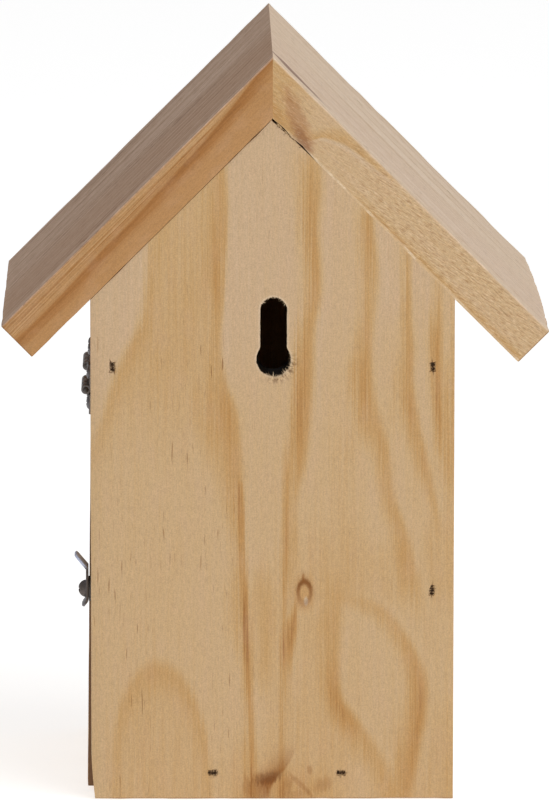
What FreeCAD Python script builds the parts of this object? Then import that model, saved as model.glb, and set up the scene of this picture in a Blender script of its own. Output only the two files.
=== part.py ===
import FreeCAD, Part
import os
import Sketcher

# Wren nest box: pitched roof, hanging keyhole in the back, a side door hung from two small hinges.
# +Z is up, the back faces +Y, the door is on the +X side, and the box stands on z = 0.

doc = FreeCAD.newDocument("wren_nest_box")
sheet = doc.addObject("Spreadsheet::Sheet", "sizes")

# Driving dimensions, in millimetres, with angles in degrees
SIZES = {
    # Boards
    "body_width": 116.0,
    "body_depth": 115.0,
    "side_height": 162.2,
    "panel_thickness": 14.0,
    "side_thickness": 14.0,
    "floor_thickness": 14.0,
    "floor_recess": 1.5,
    # Roof
    "roof_pitch": 45.0,
    "roof_thickness": 14.0,
    "roof_length_door_side": 122.3,
    "roof_length_fixed_side": 124.7,
    "roof_depth": 135.0,
    # Saw and handling marks of the back panel: a loose fit at the apex and one knocked-off corner
    "apex_shift": 0.5,
    "apex_relief": 10.5,
    "chip_width": 0.9,
    "chip_height": 3.2,
    # Openings in the front and back panels
    "entrance_diameter": 30.0,
    "entrance_height": 168.0,
    "keyhole_diameter": 10.8,
    "keyhole_height": 143.0,
    "keyhole_slot_width": 8.4,
    "keyhole_slot_rise": 15.7,
    "keyhole_shift": 0.3,
    # Side door: it hangs a little ajar, stopped by the end of the floor board
    "door_seam": 1.0,
    "door_side_gap": 0.75,
    "door_bottom_gap": 1.0,
    "door_stop_gap": 0.15,
    "door_ajar": 0.6,
    # Hinges
    "hinge_height": 129.0,
    "hinge_spacing": 46.0,
    "hinge_length": 20.0,
    "hinge_leaf_height": 8.0,
    "hinge_leaf_thickness": 0.7,
    "hinge_knuckle_diameter": 3.0,
    "hinge_knuckle_clearance": 0.2,
    "hinge_middle_knuckle": 8.0,
    "hinge_knuckle_gap": 0.2,
    "hinge_pin_diameter": 1.2,
    "hinge_pin_clearance": 0.05,
    "hinge_pin_head_diameter": 2.0,
    "hinge_pin_head_height": 0.5,
    # Hinge screws
    "hinge_screw_spacing": 12.0,
    "hinge_screw_head_diameter": 4.2,
    "hinge_screw_head_height": 0.95,
    "hinge_screw_shank_diameter": 2.4,
    "hinge_screw_length": 11.0,
    "hinge_screw_tip_length": 3.0,
    # Turn button on the edge of the back panel
    "button_height": 67.0,
    "button_edge_distance": 4.5,
    "button_width": 9.0,
    "button_thickness": 0.8,
    "button_play": 0.05,
    "button_bend_rise": 7.2,
    "button_tab_length": 6.0,
    "button_tab_angle": 40.0,
    "button_tab_radius": 2.0,
    "button_lip_drop": 3.4,
    "button_lip_length": 2.6,
    "button_lip_angle": 35.0,
    "button_washer_diameter": 8.0,
    "button_washer_thickness": 0.8,
    "button_bore_clearance": 0.08,
    # Turn button screw
    "button_screw_head_diameter": 5.6,
    "button_screw_head_height": 2.5,
    "button_screw_shank_diameter": 3.0,
    "button_screw_length": 16.0,
    "button_screw_tip_length": 4.0,
    # Drive recess and pilot hole of every screw
    "screw_tip_diameter": 0.4,
    "screw_recess_share": 0.62,
    "screw_recess_width_share": 0.17,
    "screw_recess_depth_share": 0.5,
    "pilot_clearance": 0.05,
    # Brads, driven below the surface
    "brad_length": 30.0,
    "brad_sink": 1.2,
    "brad_head_length": 2.6,
    "brad_head_thickness": 0.9,
    "brad_width": 1.3,
    "brad_thickness": 1.0,
    "upper_brad_rise": 11.5,
    "lower_brad_height": 68.0,
    "floor_brad_spacing": 41.2,
    "floor_brad_shift": 1.5,
    "roof_brad_upper": 42.0,
    "roof_brad_lower": 84.0,
}

for row, (alias, value) in enumerate(SIZES.items(), start=1):
    sheet.set(f"A{row}", alias.replace("_", " "))
    sheet.set(f"B{row}", str(value))
    sheet.setAlias(f"B{row}", alias)
doc.recompute()

# Places worked out from the driving dimensions, as expressions
HALF_WIDTH = "(sizes.body_width / 2)"
SIDE_INNER = "(sizes.body_width / 2 - sizes.side_thickness)"
SIDE_MIDDLE = "(sizes.body_width / 2 - sizes.side_thickness / 2)"
SIDE_TOP_INNER = "(sizes.side_height + sizes.side_thickness * tan(sizes.roof_pitch))"
BACK = "(sizes.roof_depth / 2)"
BACK_INNER = "(sizes.roof_depth / 2 - sizes.panel_thickness)"
BACK_MIDDLE = "(sizes.roof_depth / 2 - sizes.panel_thickness / 2)"
FRONT = "(sizes.roof_depth / 2 - sizes.body_depth)"
FRONT_INNER = f"({FRONT} + sizes.panel_thickness)"
FRONT_MIDDLE = f"({FRONT} + sizes.panel_thickness / 2)"
BODY_MIDDLE = "(sizes.roof_depth / 2 - sizes.body_depth / 2)"
INNER_DEPTH = "(sizes.body_depth - 2 * sizes.panel_thickness)"
APEX = "(sizes.side_height + sizes.body_width / 2 * tan(sizes.roof_pitch))"
RIDGE = f"({APEX} + sizes.roof_thickness / cos(sizes.roof_pitch))"
FLOOR_TOP = "(sizes.floor_recess + sizes.floor_thickness)"
FLOOR_MIDDLE = "(sizes.floor_recess + sizes.floor_thickness / 2)"
KNUCKLE_RADIUS = "(sizes.hinge_knuckle_diameter / 2)"
STAND_OFF = f"({KNUCKLE_RADIUS} + sizes.hinge_knuckle_clearance)"
HINGE_X = f"({HALF_WIDTH} + {STAND_OFF})"
LEAF_EDGE = f"({KNUCKLE_RADIUS} + sizes.hinge_knuckle_clearance)"
UPPER_BRAD = "(sizes.hinge_height + sizes.upper_brad_rise)"

ALONG_X = FreeCAD.Rotation(FreeCAD.Vector(0, 1, 0), 90)
ALONG_Y = FreeCAD.Rotation(FreeCAD.Vector(1, 0, 0), -90)
ALONG_MINUS_Y = FreeCAD.Rotation(FreeCAD.Vector(1, 0, 0), 90)
ABOUT_Y = FreeCAD.Vector(0, 1, 0)

subparts = []


# Small makers, each of one document object whose sizes are expressions
def number(expression):
    """The present value of an expression on the sheet."""
    return float(sheet.evalExpression(expression))


def bind(item, **expressions):
    for name, expression in expressions.items():
        item.setExpression(name, expression)
    return item


def place(item, x="0", y="0", z="0", rotation=FreeCAD.Rotation()):
    item.Placement = FreeCAD.Placement(FreeCAD.Vector(), rotation)
    for axis, expression in zip("xyz", (x, y, z)):
        item.setExpression(f"Placement.Base.{axis}", expression)
    return item


def turn_about_y(item, angle):
    """Turn a placed item about Y by an angle that is an expression."""
    item.Placement = FreeCAD.Placement(item.Placement.Base, FreeCAD.Rotation(ABOUT_Y, 1))
    item.setExpression("Placement.Rotation.Angle", angle)
    return item


def box(name, length, width, height, x="0", y="0", z="0"):
    item = doc.addObject("Part::Box", name)
    return place(bind(item, Length=length, Width=width, Height=height), x, y, z)


def cylinder(name, radius, height, x="0", y="0", z="0", rotation=FreeCAD.Rotation()):
    item = doc.addObject("Part::Cylinder", name)
    return place(bind(item, Radius=radius, Height=height), x, y, z, rotation)


def dome(name, radius, height, x="0", y="0", z="0", rotation=FreeCAD.Rotation()):
    """A spherical cap: its flat face, of the given radius, lies at the item's own z = 0."""
    ball = f"((({radius}) ^ 2 + ({height}) ^ 2) / (2 * ({height})))"
    cap = doc.addObject("Part::Sphere", f"{name}_cap")
    bind(cap, Radius=ball, Angle1=f"asin(({ball} - ({height})) / {ball})")
    place(cap, z=f"({height}) - {ball}")
    return place(group(name, [cap]), x, y, z, rotation)


def group(name, items):
    item = doc.addObject("Part::Compound", name)
    item.Links = items
    return item


def fuse(name, items):
    item = doc.addObject("Part::MultiFuse", name)
    item.Shapes = items
    return item


def cut(name, blank, tools):
    item = doc.addObject("Part::Cut", name)
    item.Base = blank
    item.Tool = tools[0] if len(tools) == 1 else group(f"{name}_tools", tools)
    return item


def subpart(label, item):
    """Name a finished piece. The label is also the name of its file."""
    item.Label = label
    subparts.append(item)
    return item


def draw_outline(sketch, corners):
    """Close a polygon through corners, each an (x, y) pair of expressions held from the origin."""
    spots = [FreeCAD.Vector(number(x), number(y), 0) for x, y in corners]
    count = len(corners)
    for i in range(count):
        sketch.addGeometry(Part.LineSegment(spots[i], spots[(i + 1) % count]), False)
    for i in range(count):
        sketch.addConstraint(Sketcher.Constraint("Coincident", i, 2, (i + 1) % count, 1))
    for i, (x, y) in enumerate(corners):
        for kind, expression, value in (("DistanceX", x, spots[i].x), ("DistanceY", y, spots[i].y)):
            k = sketch.addConstraint(Sketcher.Constraint(kind, -1, 1, i, 1, value))
            sketch.setExpression(f"Constraints[{k}]", expression)


def sawn_board(name, corners, thickness, back):
    """A piece with an outline in the XZ plane, padded towards -Y from y = back."""
    body = doc.addObject("PartDesign::Body", name)
    sketch = body.newObject("Sketcher::SketchObject", f"{name}_outline")
    plane = next(item for item in body.Origin.OriginFeatures if item.Role == "XZ_Plane")
    sketch.AttachmentSupport = [(plane, "")]
    sketch.MapMode = "FlatFace"
    draw_outline(sketch, corners)
    pad = body.newObject("PartDesign::Pad", f"{name}_pad")
    pad.Profile = sketch
    bind(pad, Length=thickness)
    return place(body, y=back)


# Fasteners
def brad(name, x, y, z, rotation):
    """One brad and the slit that it leaves, with its surface point at (x, y, z), driven along its own -Z."""
    across = "sizes.brad_width / 2"
    sunk = "(sizes.brad_sink + sizes.brad_head_thickness)"
    half_head = "sizes.brad_head_length / 2"
    shank = box(
        f"{name}_shank", "sizes.brad_thickness", "sizes.brad_width", "sizes.brad_length",
        "-sizes.brad_thickness / 2", f"-{across}", "-sizes.brad_sink - sizes.brad_length",
    )
    head = box(
        f"{name}_head", "sizes.brad_head_length", "sizes.brad_width", "sizes.brad_head_thickness",
        f"-{half_head}", f"-{across}", f"-{sunk}",
    )
    pocket = box(
        f"{name}_pocket", "sizes.brad_head_length", "sizes.brad_width", sunk,
        f"-{half_head}", f"-{across}", f"-{sunk}",
    )
    nail = place(fuse(name, [shank, head]), x, y, z, rotation)
    slit = place(fuse(f"{name}_slit", [shank, pocket]), x, y, z, rotation)
    return nail, slit


def wood_screw(name, kind, x, y, z):
    """A round-head cross-recess screw driven along -X, with the face under its head at (x, y, z)."""
    head_diameter = f"sizes.{kind}_head_diameter"
    head_height = f"sizes.{kind}_head_height"
    shank_radius = f"(sizes.{kind}_shank_diameter / 2)"
    length = f"sizes.{kind}_length"
    tip_length = f"sizes.{kind}_tip_length"
    straight = f"({length} - {tip_length})"
    head = dome(f"{name}_head", f"{head_diameter} / 2", head_height)
    shank = cylinder(f"{name}_shank", shank_radius, straight, z=f"-{straight}")
    tip = doc.addObject("Part::Cone", f"{name}_tip")
    bind(tip, Radius1="sizes.screw_tip_diameter / 2", Radius2=shank_radius, Height=tip_length)
    place(tip, z=f"-{length}")
    span = f"({head_diameter} * sizes.screw_recess_share)"
    slot = f"({head_diameter} * sizes.screw_recess_width_share)"
    depth = f"({head_height} * sizes.screw_recess_depth_share)"
    floor = f"{head_height} - {depth}"
    bars = [
        box(f"{name}_bar_x", span, slot, depth, f"-{span} / 2", f"-{slot} / 2", floor),
        box(f"{name}_bar_y", slot, span, depth, f"-{slot} / 2", f"-{span} / 2", floor),
    ]
    blank = fuse(f"{name}_blank", [head, shank, tip])
    return place(cut(name, blank, [fuse(f"{name}_cross", bars)]), x, y, z, ALONG_X)


def pilot_hole(name, kind, x, y, z):
    """The hole that a wood_screw at the same place leaves in the wood."""
    radius = f"sizes.{kind}_shank_diameter / 2 + sizes.pilot_clearance"
    depth = f"(sizes.{kind}_length + sizes.pilot_clearance)"
    return cylinder(name, radius, depth, f"{x} - {depth}", y, z, ALONG_X)


def wall_brads(name, x_and_z, y, rotation):
    """Brads through a panel at y into the boards behind it. Returns the brads and their slits."""
    pairs = [brad(f"{name}_{i}", x, y, z, rotation) for i, (x, z) in enumerate(x_and_z)]
    return [nail for nail, _ in pairs], [slit for _, slit in pairs]


# Brads: their heads run along the grain of the panels, but across it at the floor
UPRIGHT_BACK = ALONG_Y.multiply(FreeCAD.Rotation(FreeCAD.Vector(0, 0, 1), 90))
UPRIGHT_FRONT = ALONG_MINUS_Y.multiply(FreeCAD.Rotation(FreeCAD.Vector(0, 0, 1), 90))
header_spot = (SIDE_MIDDLE, UPPER_BRAD)
fixed_side_spots = [(f"-{SIDE_MIDDLE}", UPPER_BRAD), (f"-{SIDE_MIDDLE}", "sizes.lower_brad_height")]
floor_spots = [
    (f"{sign} * sizes.floor_brad_spacing / 2 - sizes.floor_brad_shift", FLOOR_MIDDLE) for sign in ("-1", "1")
]

back_wall_brads, back_wall_slits = wall_brads(
    "back_wall_brad", [header_spot] + fixed_side_spots, BACK, UPRIGHT_BACK
)
front_wall_brads, front_wall_slits = wall_brads(
    "front_wall_brad", [header_spot] + fixed_side_spots, FRONT, UPRIGHT_FRONT
)
back_floor_brads, back_floor_slits = wall_brads("back_floor_brad", floor_spots, BACK, ALONG_Y)
front_floor_brads, front_floor_slits = wall_brads("front_floor_brad", floor_spots, FRONT, ALONG_MINUS_Y)

roof_brads = {}
roof_slits = {}
for side, sign in (("door_side", "1"), ("fixed_side", "-1")):
    for end, y in (("back", BACK_MIDDLE), ("front", FRONT_MIDDLE)):
        pairs = []
        for spot in ("upper", "lower"):
            along = f"sizes.roof_brad_{spot}"
            pair = brad(
                f"roof_brad_{side}_{end}_{spot}", f"{sign} * {along} * cos(sizes.roof_pitch)", y,
                f"{RIDGE} - {along} * sin(sizes.roof_pitch)", FreeCAD.Rotation(),
            )
            pairs.append([turn_about_y(item, f"{sign} * sizes.roof_pitch") for item in pair])
        roof_brads[side, end] = [nail for nail, _ in pairs]
        roof_slits[side, end] = [slit for _, slit in pairs]

# Back panel, with the keyhole it hangs by
keyhole = fuse("keyhole", [
    cylinder(
        "keyhole_round", "sizes.keyhole_diameter / 2", "sizes.panel_thickness",
        "-sizes.keyhole_shift", BACK_INNER, "sizes.keyhole_height", ALONG_Y,
    ),
    box(
        "keyhole_slot", "sizes.keyhole_slot_width", "sizes.panel_thickness", "sizes.keyhole_slot_rise",
        "-sizes.keyhole_shift - sizes.keyhole_slot_width / 2", BACK_INNER, "sizes.keyhole_height",
    ),
    cylinder(
        "keyhole_slot_end", "sizes.keyhole_slot_width / 2", "sizes.panel_thickness",
        "-sizes.keyhole_shift", BACK_INNER, "sizes.keyhole_height + sizes.keyhole_slot_rise", ALONG_Y,
    ),
])
button_y = f"({BACK_INNER} + sizes.button_edge_distance)"
button_seat = "(sizes.button_washer_thickness + sizes.button_play)"
button_head_x = f"({HALF_WIDTH} + {button_seat} + sizes.button_thickness + sizes.button_play)"
button_pilot = pilot_hole("button_pilot", "button_screw", button_head_x, button_y, "sizes.button_height")

back_blank = sawn_board("back_blank", [
    (f"-{HALF_WIDTH}", "0"),
    (f"{HALF_WIDTH} - sizes.chip_width", "0"),
    (HALF_WIDTH, "sizes.chip_height"),
    (HALF_WIDTH, "sizes.side_height"),
    ("sizes.apex_shift", f"{APEX} - sizes.apex_shift * tan(sizes.roof_pitch)"),
    ("-sizes.apex_relief", f"{APEX} - sizes.apex_relief * tan(sizes.roof_pitch)"),
    (f"-{HALF_WIDTH}", "sizes.side_height"),
], "sizes.panel_thickness", BACK)
back_roof_slits = roof_slits["door_side", "back"] + roof_slits["fixed_side", "back"]
subpart("back_panel", cut(
    "back_cut", back_blank, [keyhole, button_pilot] + back_wall_slits + back_floor_slits + back_roof_slits
))

# Front panel, with the round entrance
front_blank = sawn_board("front_blank", [
    (f"-{HALF_WIDTH}", "0"),
    (HALF_WIDTH, "0"),
    (HALF_WIDTH, "sizes.side_height"),
    ("0", APEX),
    (f"-{HALF_WIDTH}", "sizes.side_height"),
], "sizes.panel_thickness", FRONT_INNER)
entrance = cylinder(
    "entrance", "sizes.entrance_diameter / 2", "sizes.panel_thickness",
    y=FRONT, z="sizes.entrance_height", rotation=ALONG_Y,
)
front_roof_slits = roof_slits["door_side", "front"] + roof_slits["fixed_side", "front"]
subpart("front_panel", cut(
    "front_cut", front_blank, [entrance] + front_wall_slits + front_floor_slits + front_roof_slits
))

# Fixed side wall and the header above the door, bevelled to the roof
fixed_side_blank = sawn_board("fixed_side_blank", [
    (f"-{HALF_WIDTH}", "0"),
    (f"-{SIDE_INNER}", "0"),
    (f"-{SIDE_INNER}", SIDE_TOP_INNER),
    (f"-{HALF_WIDTH}", "sizes.side_height"),
], INNER_DEPTH, BACK_INNER)
subpart("fixed_side", cut("fixed_side_cut", fixed_side_blank, back_wall_slits[1:] + front_wall_slits[1:]))

header_bottom = "(sizes.hinge_height + sizes.door_seam / 2)"
header_blank = sawn_board("header_blank", [
    (SIDE_INNER, header_bottom),
    (HALF_WIDTH, header_bottom),
    (HALF_WIDTH, "sizes.side_height"),
    (SIDE_INNER, SIDE_TOP_INNER),
], INNER_DEPTH, BACK_INNER)

# Floor board: its free end stops the door
floor_end = (
    f"({HINGE_X} - ({STAND_OFF} + sizes.side_thickness) * cos(sizes.door_ajar)"
    f" + (sizes.hinge_height - {FLOOR_TOP}) * sin(sizes.door_ajar) - sizes.door_stop_gap)"
)
floor_blank = box(
    "floor_blank", f"{floor_end} + {SIDE_INNER}", INNER_DEPTH, "sizes.floor_thickness",
    f"-{SIDE_INNER}", FRONT_INNER, "sizes.floor_recess",
)
subpart("floor_board", cut("floor_cut", floor_blank, back_floor_slits + front_floor_slits))

# Roof boards, mitred at the ridge
for side, sign in (("door_side", "1"), ("fixed_side", "-1")):
    eave_x = f"(sizes.roof_length_{side} * cos(sizes.roof_pitch))"
    eave_z = f"({RIDGE} - sizes.roof_length_{side} * sin(sizes.roof_pitch))"
    roof_blank = sawn_board(f"roof_{side}_blank", [
        ("0", RIDGE),
        ("0", APEX),
        (
            f"{sign} * ({eave_x} - sizes.roof_thickness * sin(sizes.roof_pitch))",
            f"{eave_z} - sizes.roof_thickness * cos(sizes.roof_pitch)",
        ),
        (f"{sign} * {eave_x}", eave_z),
    ], "sizes.roof_depth", BACK)
    subpart(f"roof_board_{side}", cut(
        f"roof_{side}_cut", roof_blank, roof_slits[side, "back"] + roof_slits[side, "front"]
    ))

# Hinges, door and header are drawn about the hinge line, with x outwards and z up from it
knuckle_bore = "(sizes.hinge_pin_diameter / 2 + sizes.hinge_pin_clearance)"
screw_seat = f"(sizes.hinge_leaf_thickness - {STAND_OFF})"
screw_rise = f"({LEAF_EDGE} + sizes.hinge_leaf_height) / 2"
hinge_middles = {
    "rear": f"({BODY_MIDDLE} + sizes.hinge_spacing / 2)",
    "front": f"({BODY_MIDDLE} - sizes.hinge_spacing / 2)",
}


def hang_on_header(item):
    return place(item, x=HINGE_X, z="sizes.hinge_height")


def hang_on_door(item):
    """The door group is turned outwards about the hinge line by its small angle at rest."""
    return turn_about_y(hang_on_header(item), "-sizes.door_ajar")


def screw_spots(middle, sign):
    """Places of a leaf's two screws about the hinge line: above it for sign 1, below it for -1."""
    return [
        (screw_seat, f"{middle} + {end} * sizes.hinge_screw_spacing / 2", f"{sign} * {screw_rise}")
        for end in ("-1", "1")
    ]


def hinge_leaf(name, middle, sign, knuckles):
    """A leaf above (sign 1) or below (sign -1) the hinge line. Knuckles are (start, length) pairs along y."""
    start = f"({middle} - sizes.hinge_length / 2)"
    tall = f"(sizes.hinge_leaf_height - {LEAF_EDGE})"
    bottom = LEAF_EDGE if sign == "1" else "-sizes.hinge_leaf_height"
    neck_bottom = "0" if sign == "1" else f"-{LEAF_EDGE}"
    thick = "sizes.hinge_leaf_thickness"
    pieces = [box(f"{name}_plate", thick, "sizes.hinge_length", tall, f"-{STAND_OFF}", start, bottom)]
    for i, (knuckle_start, knuckle_length) in enumerate(knuckles):
        pieces.append(box(
            f"{name}_neck_{i}", thick, knuckle_length, LEAF_EDGE, f"-{STAND_OFF}", knuckle_start, neck_bottom
        ))
        pieces.append(cylinder(
            f"{name}_knuckle_{i}", KNUCKLE_RADIUS, knuckle_length, y=knuckle_start, rotation=ALONG_Y
        ))
    tools = [cylinder(f"{name}_bore", knuckle_bore, "sizes.hinge_length", y=start, rotation=ALONG_Y)]
    for i, (_, y, z) in enumerate(screw_spots(middle, sign)):
        radius = "sizes.hinge_screw_shank_diameter / 2 + sizes.pilot_clearance"
        tools.append(cylinder(f"{name}_hole_{i}", radius, thick, f"-{STAND_OFF}", y, z, ALONG_X))
    return cut(f"{name}_cut", fuse(f"{name}_blank", pieces), tools)


def hinge_pin(name, middle):
    """A pin with a small riveted head at each end."""
    radius = "sizes.hinge_pin_diameter / 2"
    head_radius = "sizes.hinge_pin_head_diameter / 2"
    start = f"({middle} - sizes.hinge_length / 2)"
    end = f"({middle} + sizes.hinge_length / 2)"
    head_height = "sizes.hinge_pin_head_height"
    return fuse(f"{name}_fuse", [
        cylinder(f"{name}_shank", radius, "sizes.hinge_length", y=start, rotation=ALONG_Y),
        dome(f"{name}_head_rear", head_radius, head_height, y=end, rotation=ALONG_Y),
        dome(f"{name}_head_front", head_radius, head_height, y=start, rotation=ALONG_MINUS_Y),
    ])


frame_screws = []
door_screws = []
frame_pilots = []
door_pilots = []
for end, middle in hinge_middles.items():
    half = "sizes.hinge_length / 2"
    half_middle = "(sizes.hinge_middle_knuckle / 2)"
    outer_length = f"({half} - {half_middle} - sizes.hinge_knuckle_gap)"
    frame_knuckles = [
        (f"({middle} - {half})", outer_length),
        (f"({middle} + {half_middle} + sizes.hinge_knuckle_gap)", outer_length),
    ]
    door_knuckles = [(f"({middle} - {half_middle})", "sizes.hinge_middle_knuckle")]
    frame_leaf = hinge_leaf(f"{end}_frame_leaf", middle, "1", frame_knuckles)
    door_leaf = hinge_leaf(f"{end}_door_leaf", middle, "-1", door_knuckles)
    subpart(f"{end}_hinge_frame_leaf", hang_on_header(frame_leaf))
    subpart(f"{end}_hinge_door_leaf", hang_on_door(door_leaf))
    subpart(f"{end}_hinge_pin", hang_on_header(hinge_pin(f"{end}_pin", middle)))
    for sign, screws, pilots in (("1", frame_screws, frame_pilots), ("-1", door_screws, door_pilots)):
        holder = "frame" if sign == "1" else "door"
        for i, spot in enumerate(screw_spots(middle, sign)):
            screws.append(wood_screw(f"{end}_{holder}_screw_{i}", "hinge_screw", *spot))
            pilots.append(pilot_hole(f"{end}_{holder}_pilot_{i}", "hinge_screw", *spot))

subpart("hinge_frame_screws", hang_on_header(group("frame_screw_group", frame_screws)))
subpart("hinge_door_screws", hang_on_door(group("door_screw_group", door_screws)))

# Header: its pilot holes are set about the hinge line, so they are moved to it first
header_pilots = hang_on_header(group("header_pilots", frame_pilots))
header_tools = [header_pilots, back_wall_slits[0], front_wall_slits[0]]
subpart("door_header", cut("header_cut", header_blank, header_tools))

door_blank = box(
    "door_blank", "sizes.side_thickness", f"{INNER_DEPTH} - 2 * sizes.door_side_gap",
    "sizes.hinge_height - sizes.door_bottom_gap - sizes.door_seam / 2",
    f"-{STAND_OFF} - sizes.side_thickness", f"{FRONT_INNER} + sizes.door_side_gap",
    "sizes.door_bottom_gap - sizes.hinge_height",
)
subpart("side_door", hang_on_door(cut("door_cut", door_blank, door_pilots)))

# Turn button: a bent strip about its screw, with x outwards from the edge of the back panel
tab = "sizes.button_tab_angle"
lip = "sizes.button_lip_angle"
sheet_gauge = "sizes.button_thickness"
tab_tip = (
    f"{button_seat} + sizes.button_tab_length * sin({tab})",
    f"sizes.button_bend_rise + sizes.button_tab_length * cos({tab})",
)
lip_tip = (
    f"{button_seat} + sizes.button_lip_length * sin({lip})",
    f"-sizes.button_lip_drop - sizes.button_lip_length * cos({lip})",
)
button_strip = sawn_board("button_strip", [
    lip_tip,
    (f"{lip_tip[0]} + {sheet_gauge} * cos({lip})", f"{lip_tip[1]} + {sheet_gauge} * sin({lip})"),
    (f"{button_seat} + {sheet_gauge}", f"-sizes.button_lip_drop + {sheet_gauge} * tan({lip} / 2)"),
    (f"{button_seat} + {sheet_gauge}", f"sizes.button_bend_rise - {sheet_gauge} * tan({tab} / 2)"),
    (f"{tab_tip[0]} + {sheet_gauge} * cos({tab})", f"{tab_tip[1]} - {sheet_gauge} * sin({tab})"),
    tab_tip,
    (button_seat, "sizes.button_bend_rise"),
    (button_seat, "-sizes.button_lip_drop"),
], "sizes.button_width", "sizes.button_width / 2")
doc.recompute()


def end_edges(shape, gauge):
    """Names of the short edges across the strip's thickness at its two ends."""
    low = shape.BoundBox.ZMin + gauge
    high = shape.BoundBox.ZMax - gauge
    tolerance = gauge / 100
    names = []
    for i, edge in enumerate(shape.Edges, start=1):
        middle = edge.CenterOfMass.z
        if abs(edge.Length - gauge) < tolerance and (middle < low or middle > high):
            names.append(f"Edge{i}")
    return names


strip_pad = button_strip.Tip
corner_rounding = button_strip.newObject("PartDesign::Fillet", "button_corners")
corner_rounding.Base = (strip_pad, end_edges(strip_pad.Shape, number(sheet_gauge)))
bind(corner_rounding, Radius="sizes.button_tab_radius")

button_bore = "sizes.button_screw_shank_diameter / 2 + sizes.button_bore_clearance"
button_hole = cylinder("button_hole", button_bore, sheet_gauge, x=button_seat, rotation=ALONG_X)
washer_disc = cylinder(
    "washer_disc", "sizes.button_washer_diameter / 2", "sizes.button_washer_thickness", rotation=ALONG_X
)
washer_hole = cylinder("washer_hole", button_bore, "sizes.button_washer_thickness", rotation=ALONG_X)
for label, piece in (
    ("turn_button", cut("button_cut", button_strip, [button_hole])),
    ("turn_button_washer", cut("washer_cut", washer_disc, [washer_hole])),
):
    subpart(label, place(piece, HALF_WIDTH, button_y, "sizes.button_height"))
subpart("turn_button_screw", wood_screw(
    "button_screw", "button_screw", button_head_x, button_y, "sizes.button_height"
))

# Brads, in groups by what they hold
subpart("back_wall_brads", group("back_wall_brad_group", back_wall_brads))
subpart("front_wall_brads", group("front_wall_brad_group", front_wall_brads))
subpart("floor_brads", group("floor_brad_group", back_floor_brads + front_floor_brads))
subpart("roof_brads", group("roof_brad_group", [nail for nails in roof_brads.values() for nail in nails]))

doc.recompute()

# Every object has to be sound before anything is written
for item in doc.Objects:
    if "Invalid" in item.State or "Error" in item.State:
        raise RuntimeError(f"{item.Name} failed: {item.State}")
for piece in subparts:
    if piece.Shape.isNull() or not piece.Shape.isValid():
        raise RuntimeError(f"{piece.Label} has no sound shape")

os.makedirs("parts", exist_ok=True)
for piece in subparts:
    piece.Shape.exportStep(f"parts/{piece.Label}.step")
    print(f"{piece.Label}: {len(piece.Shape.Solids)} solids, {piece.Shape.Volume:.1f} mm3")
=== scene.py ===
# %% [markdown]
# A wren nest box in planed pine
#
# The packed model is the frame of this scene: every board, hinge and brad already stands in its place,
# in metres. This lesson dresses it. Each board gets its grain, its eased arrises and its saw marks, and
# each bit of metal its finish. The photograph looks at the back of the box, where the keyhole is, so
# that side gets the most care.

# %% Load the packed model
import math
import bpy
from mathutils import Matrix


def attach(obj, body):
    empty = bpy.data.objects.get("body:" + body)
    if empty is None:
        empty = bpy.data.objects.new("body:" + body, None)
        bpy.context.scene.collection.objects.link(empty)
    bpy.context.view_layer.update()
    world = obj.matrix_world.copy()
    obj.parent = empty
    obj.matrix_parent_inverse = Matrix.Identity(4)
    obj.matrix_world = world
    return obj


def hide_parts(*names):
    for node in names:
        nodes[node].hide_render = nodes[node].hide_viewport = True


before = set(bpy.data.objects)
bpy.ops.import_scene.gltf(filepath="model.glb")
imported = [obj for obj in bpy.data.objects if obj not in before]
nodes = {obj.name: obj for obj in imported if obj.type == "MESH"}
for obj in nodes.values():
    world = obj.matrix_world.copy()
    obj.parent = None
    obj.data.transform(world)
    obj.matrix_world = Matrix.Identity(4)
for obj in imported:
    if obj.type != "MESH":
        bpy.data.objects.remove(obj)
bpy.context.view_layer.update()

from types import SimpleNamespace

import bmesh
import bpy
import numpy as np
from mathutils import Quaternion, Vector, noise

MM = 0.001

# %% [markdown]
# The camera
#
# The box was photographed from far off with a long lens, a little above its middle, so its upright
# edges stay upright. A camera could be placed by eye, but these numbers were worked out from the
# corners of the box in the photograph: the point in the middle of the picture, how far the camera
# stands from it, its height, its swing and its tilt.

# %% Camera
AIM = Vector((-0.62, 67.5, 129.81)) * MM
CAMERA_DISTANCE = 2920 * MM
CAMERA_RISE = math.radians(9.75)
CAMERA_SWING = math.radians(179.382)
CAMERA_TILT = math.radians(0.055)
CAMERA_LENS = 412.6
CAMERA_SIGHT = 50.0

backwards = Vector((
    math.sin(CAMERA_SWING) * math.cos(CAMERA_RISE),
    -math.cos(CAMERA_SWING) * math.cos(CAMERA_RISE),
    math.sin(CAMERA_RISE),
))
camera = bpy.data.objects.new("photo_camera", bpy.data.cameras.new("photo_camera"))
camera.data.lens = CAMERA_LENS
camera.data.clip_end = CAMERA_SIGHT
camera.location = AIM + backwards * CAMERA_DISTANCE
level = (-backwards).to_track_quat("-Z", "Y")
camera.rotation_euler = (level @ Quaternion((0, 0, 1), CAMERA_TILT)).to_euler()
bpy.context.scene.collection.objects.link(camera)
bpy.context.scene.camera = camera
print("camera at", [round(c, 3) for c in camera.location])

# %% [markdown]
# Studio light
#
# One large soft light stands high on the right of the camera. It lights the right roof board and the
# back panel, and leaves the left roof board in shade, as in the photograph. The rest is even light from
# all round and from the floor. The plain Standard view keeps the colours of the finishes as they are
# mixed.

# %% Lights
WHITE = (1.0, 1.0, 1.0, 1.0)
SKY = 0.36


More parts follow.
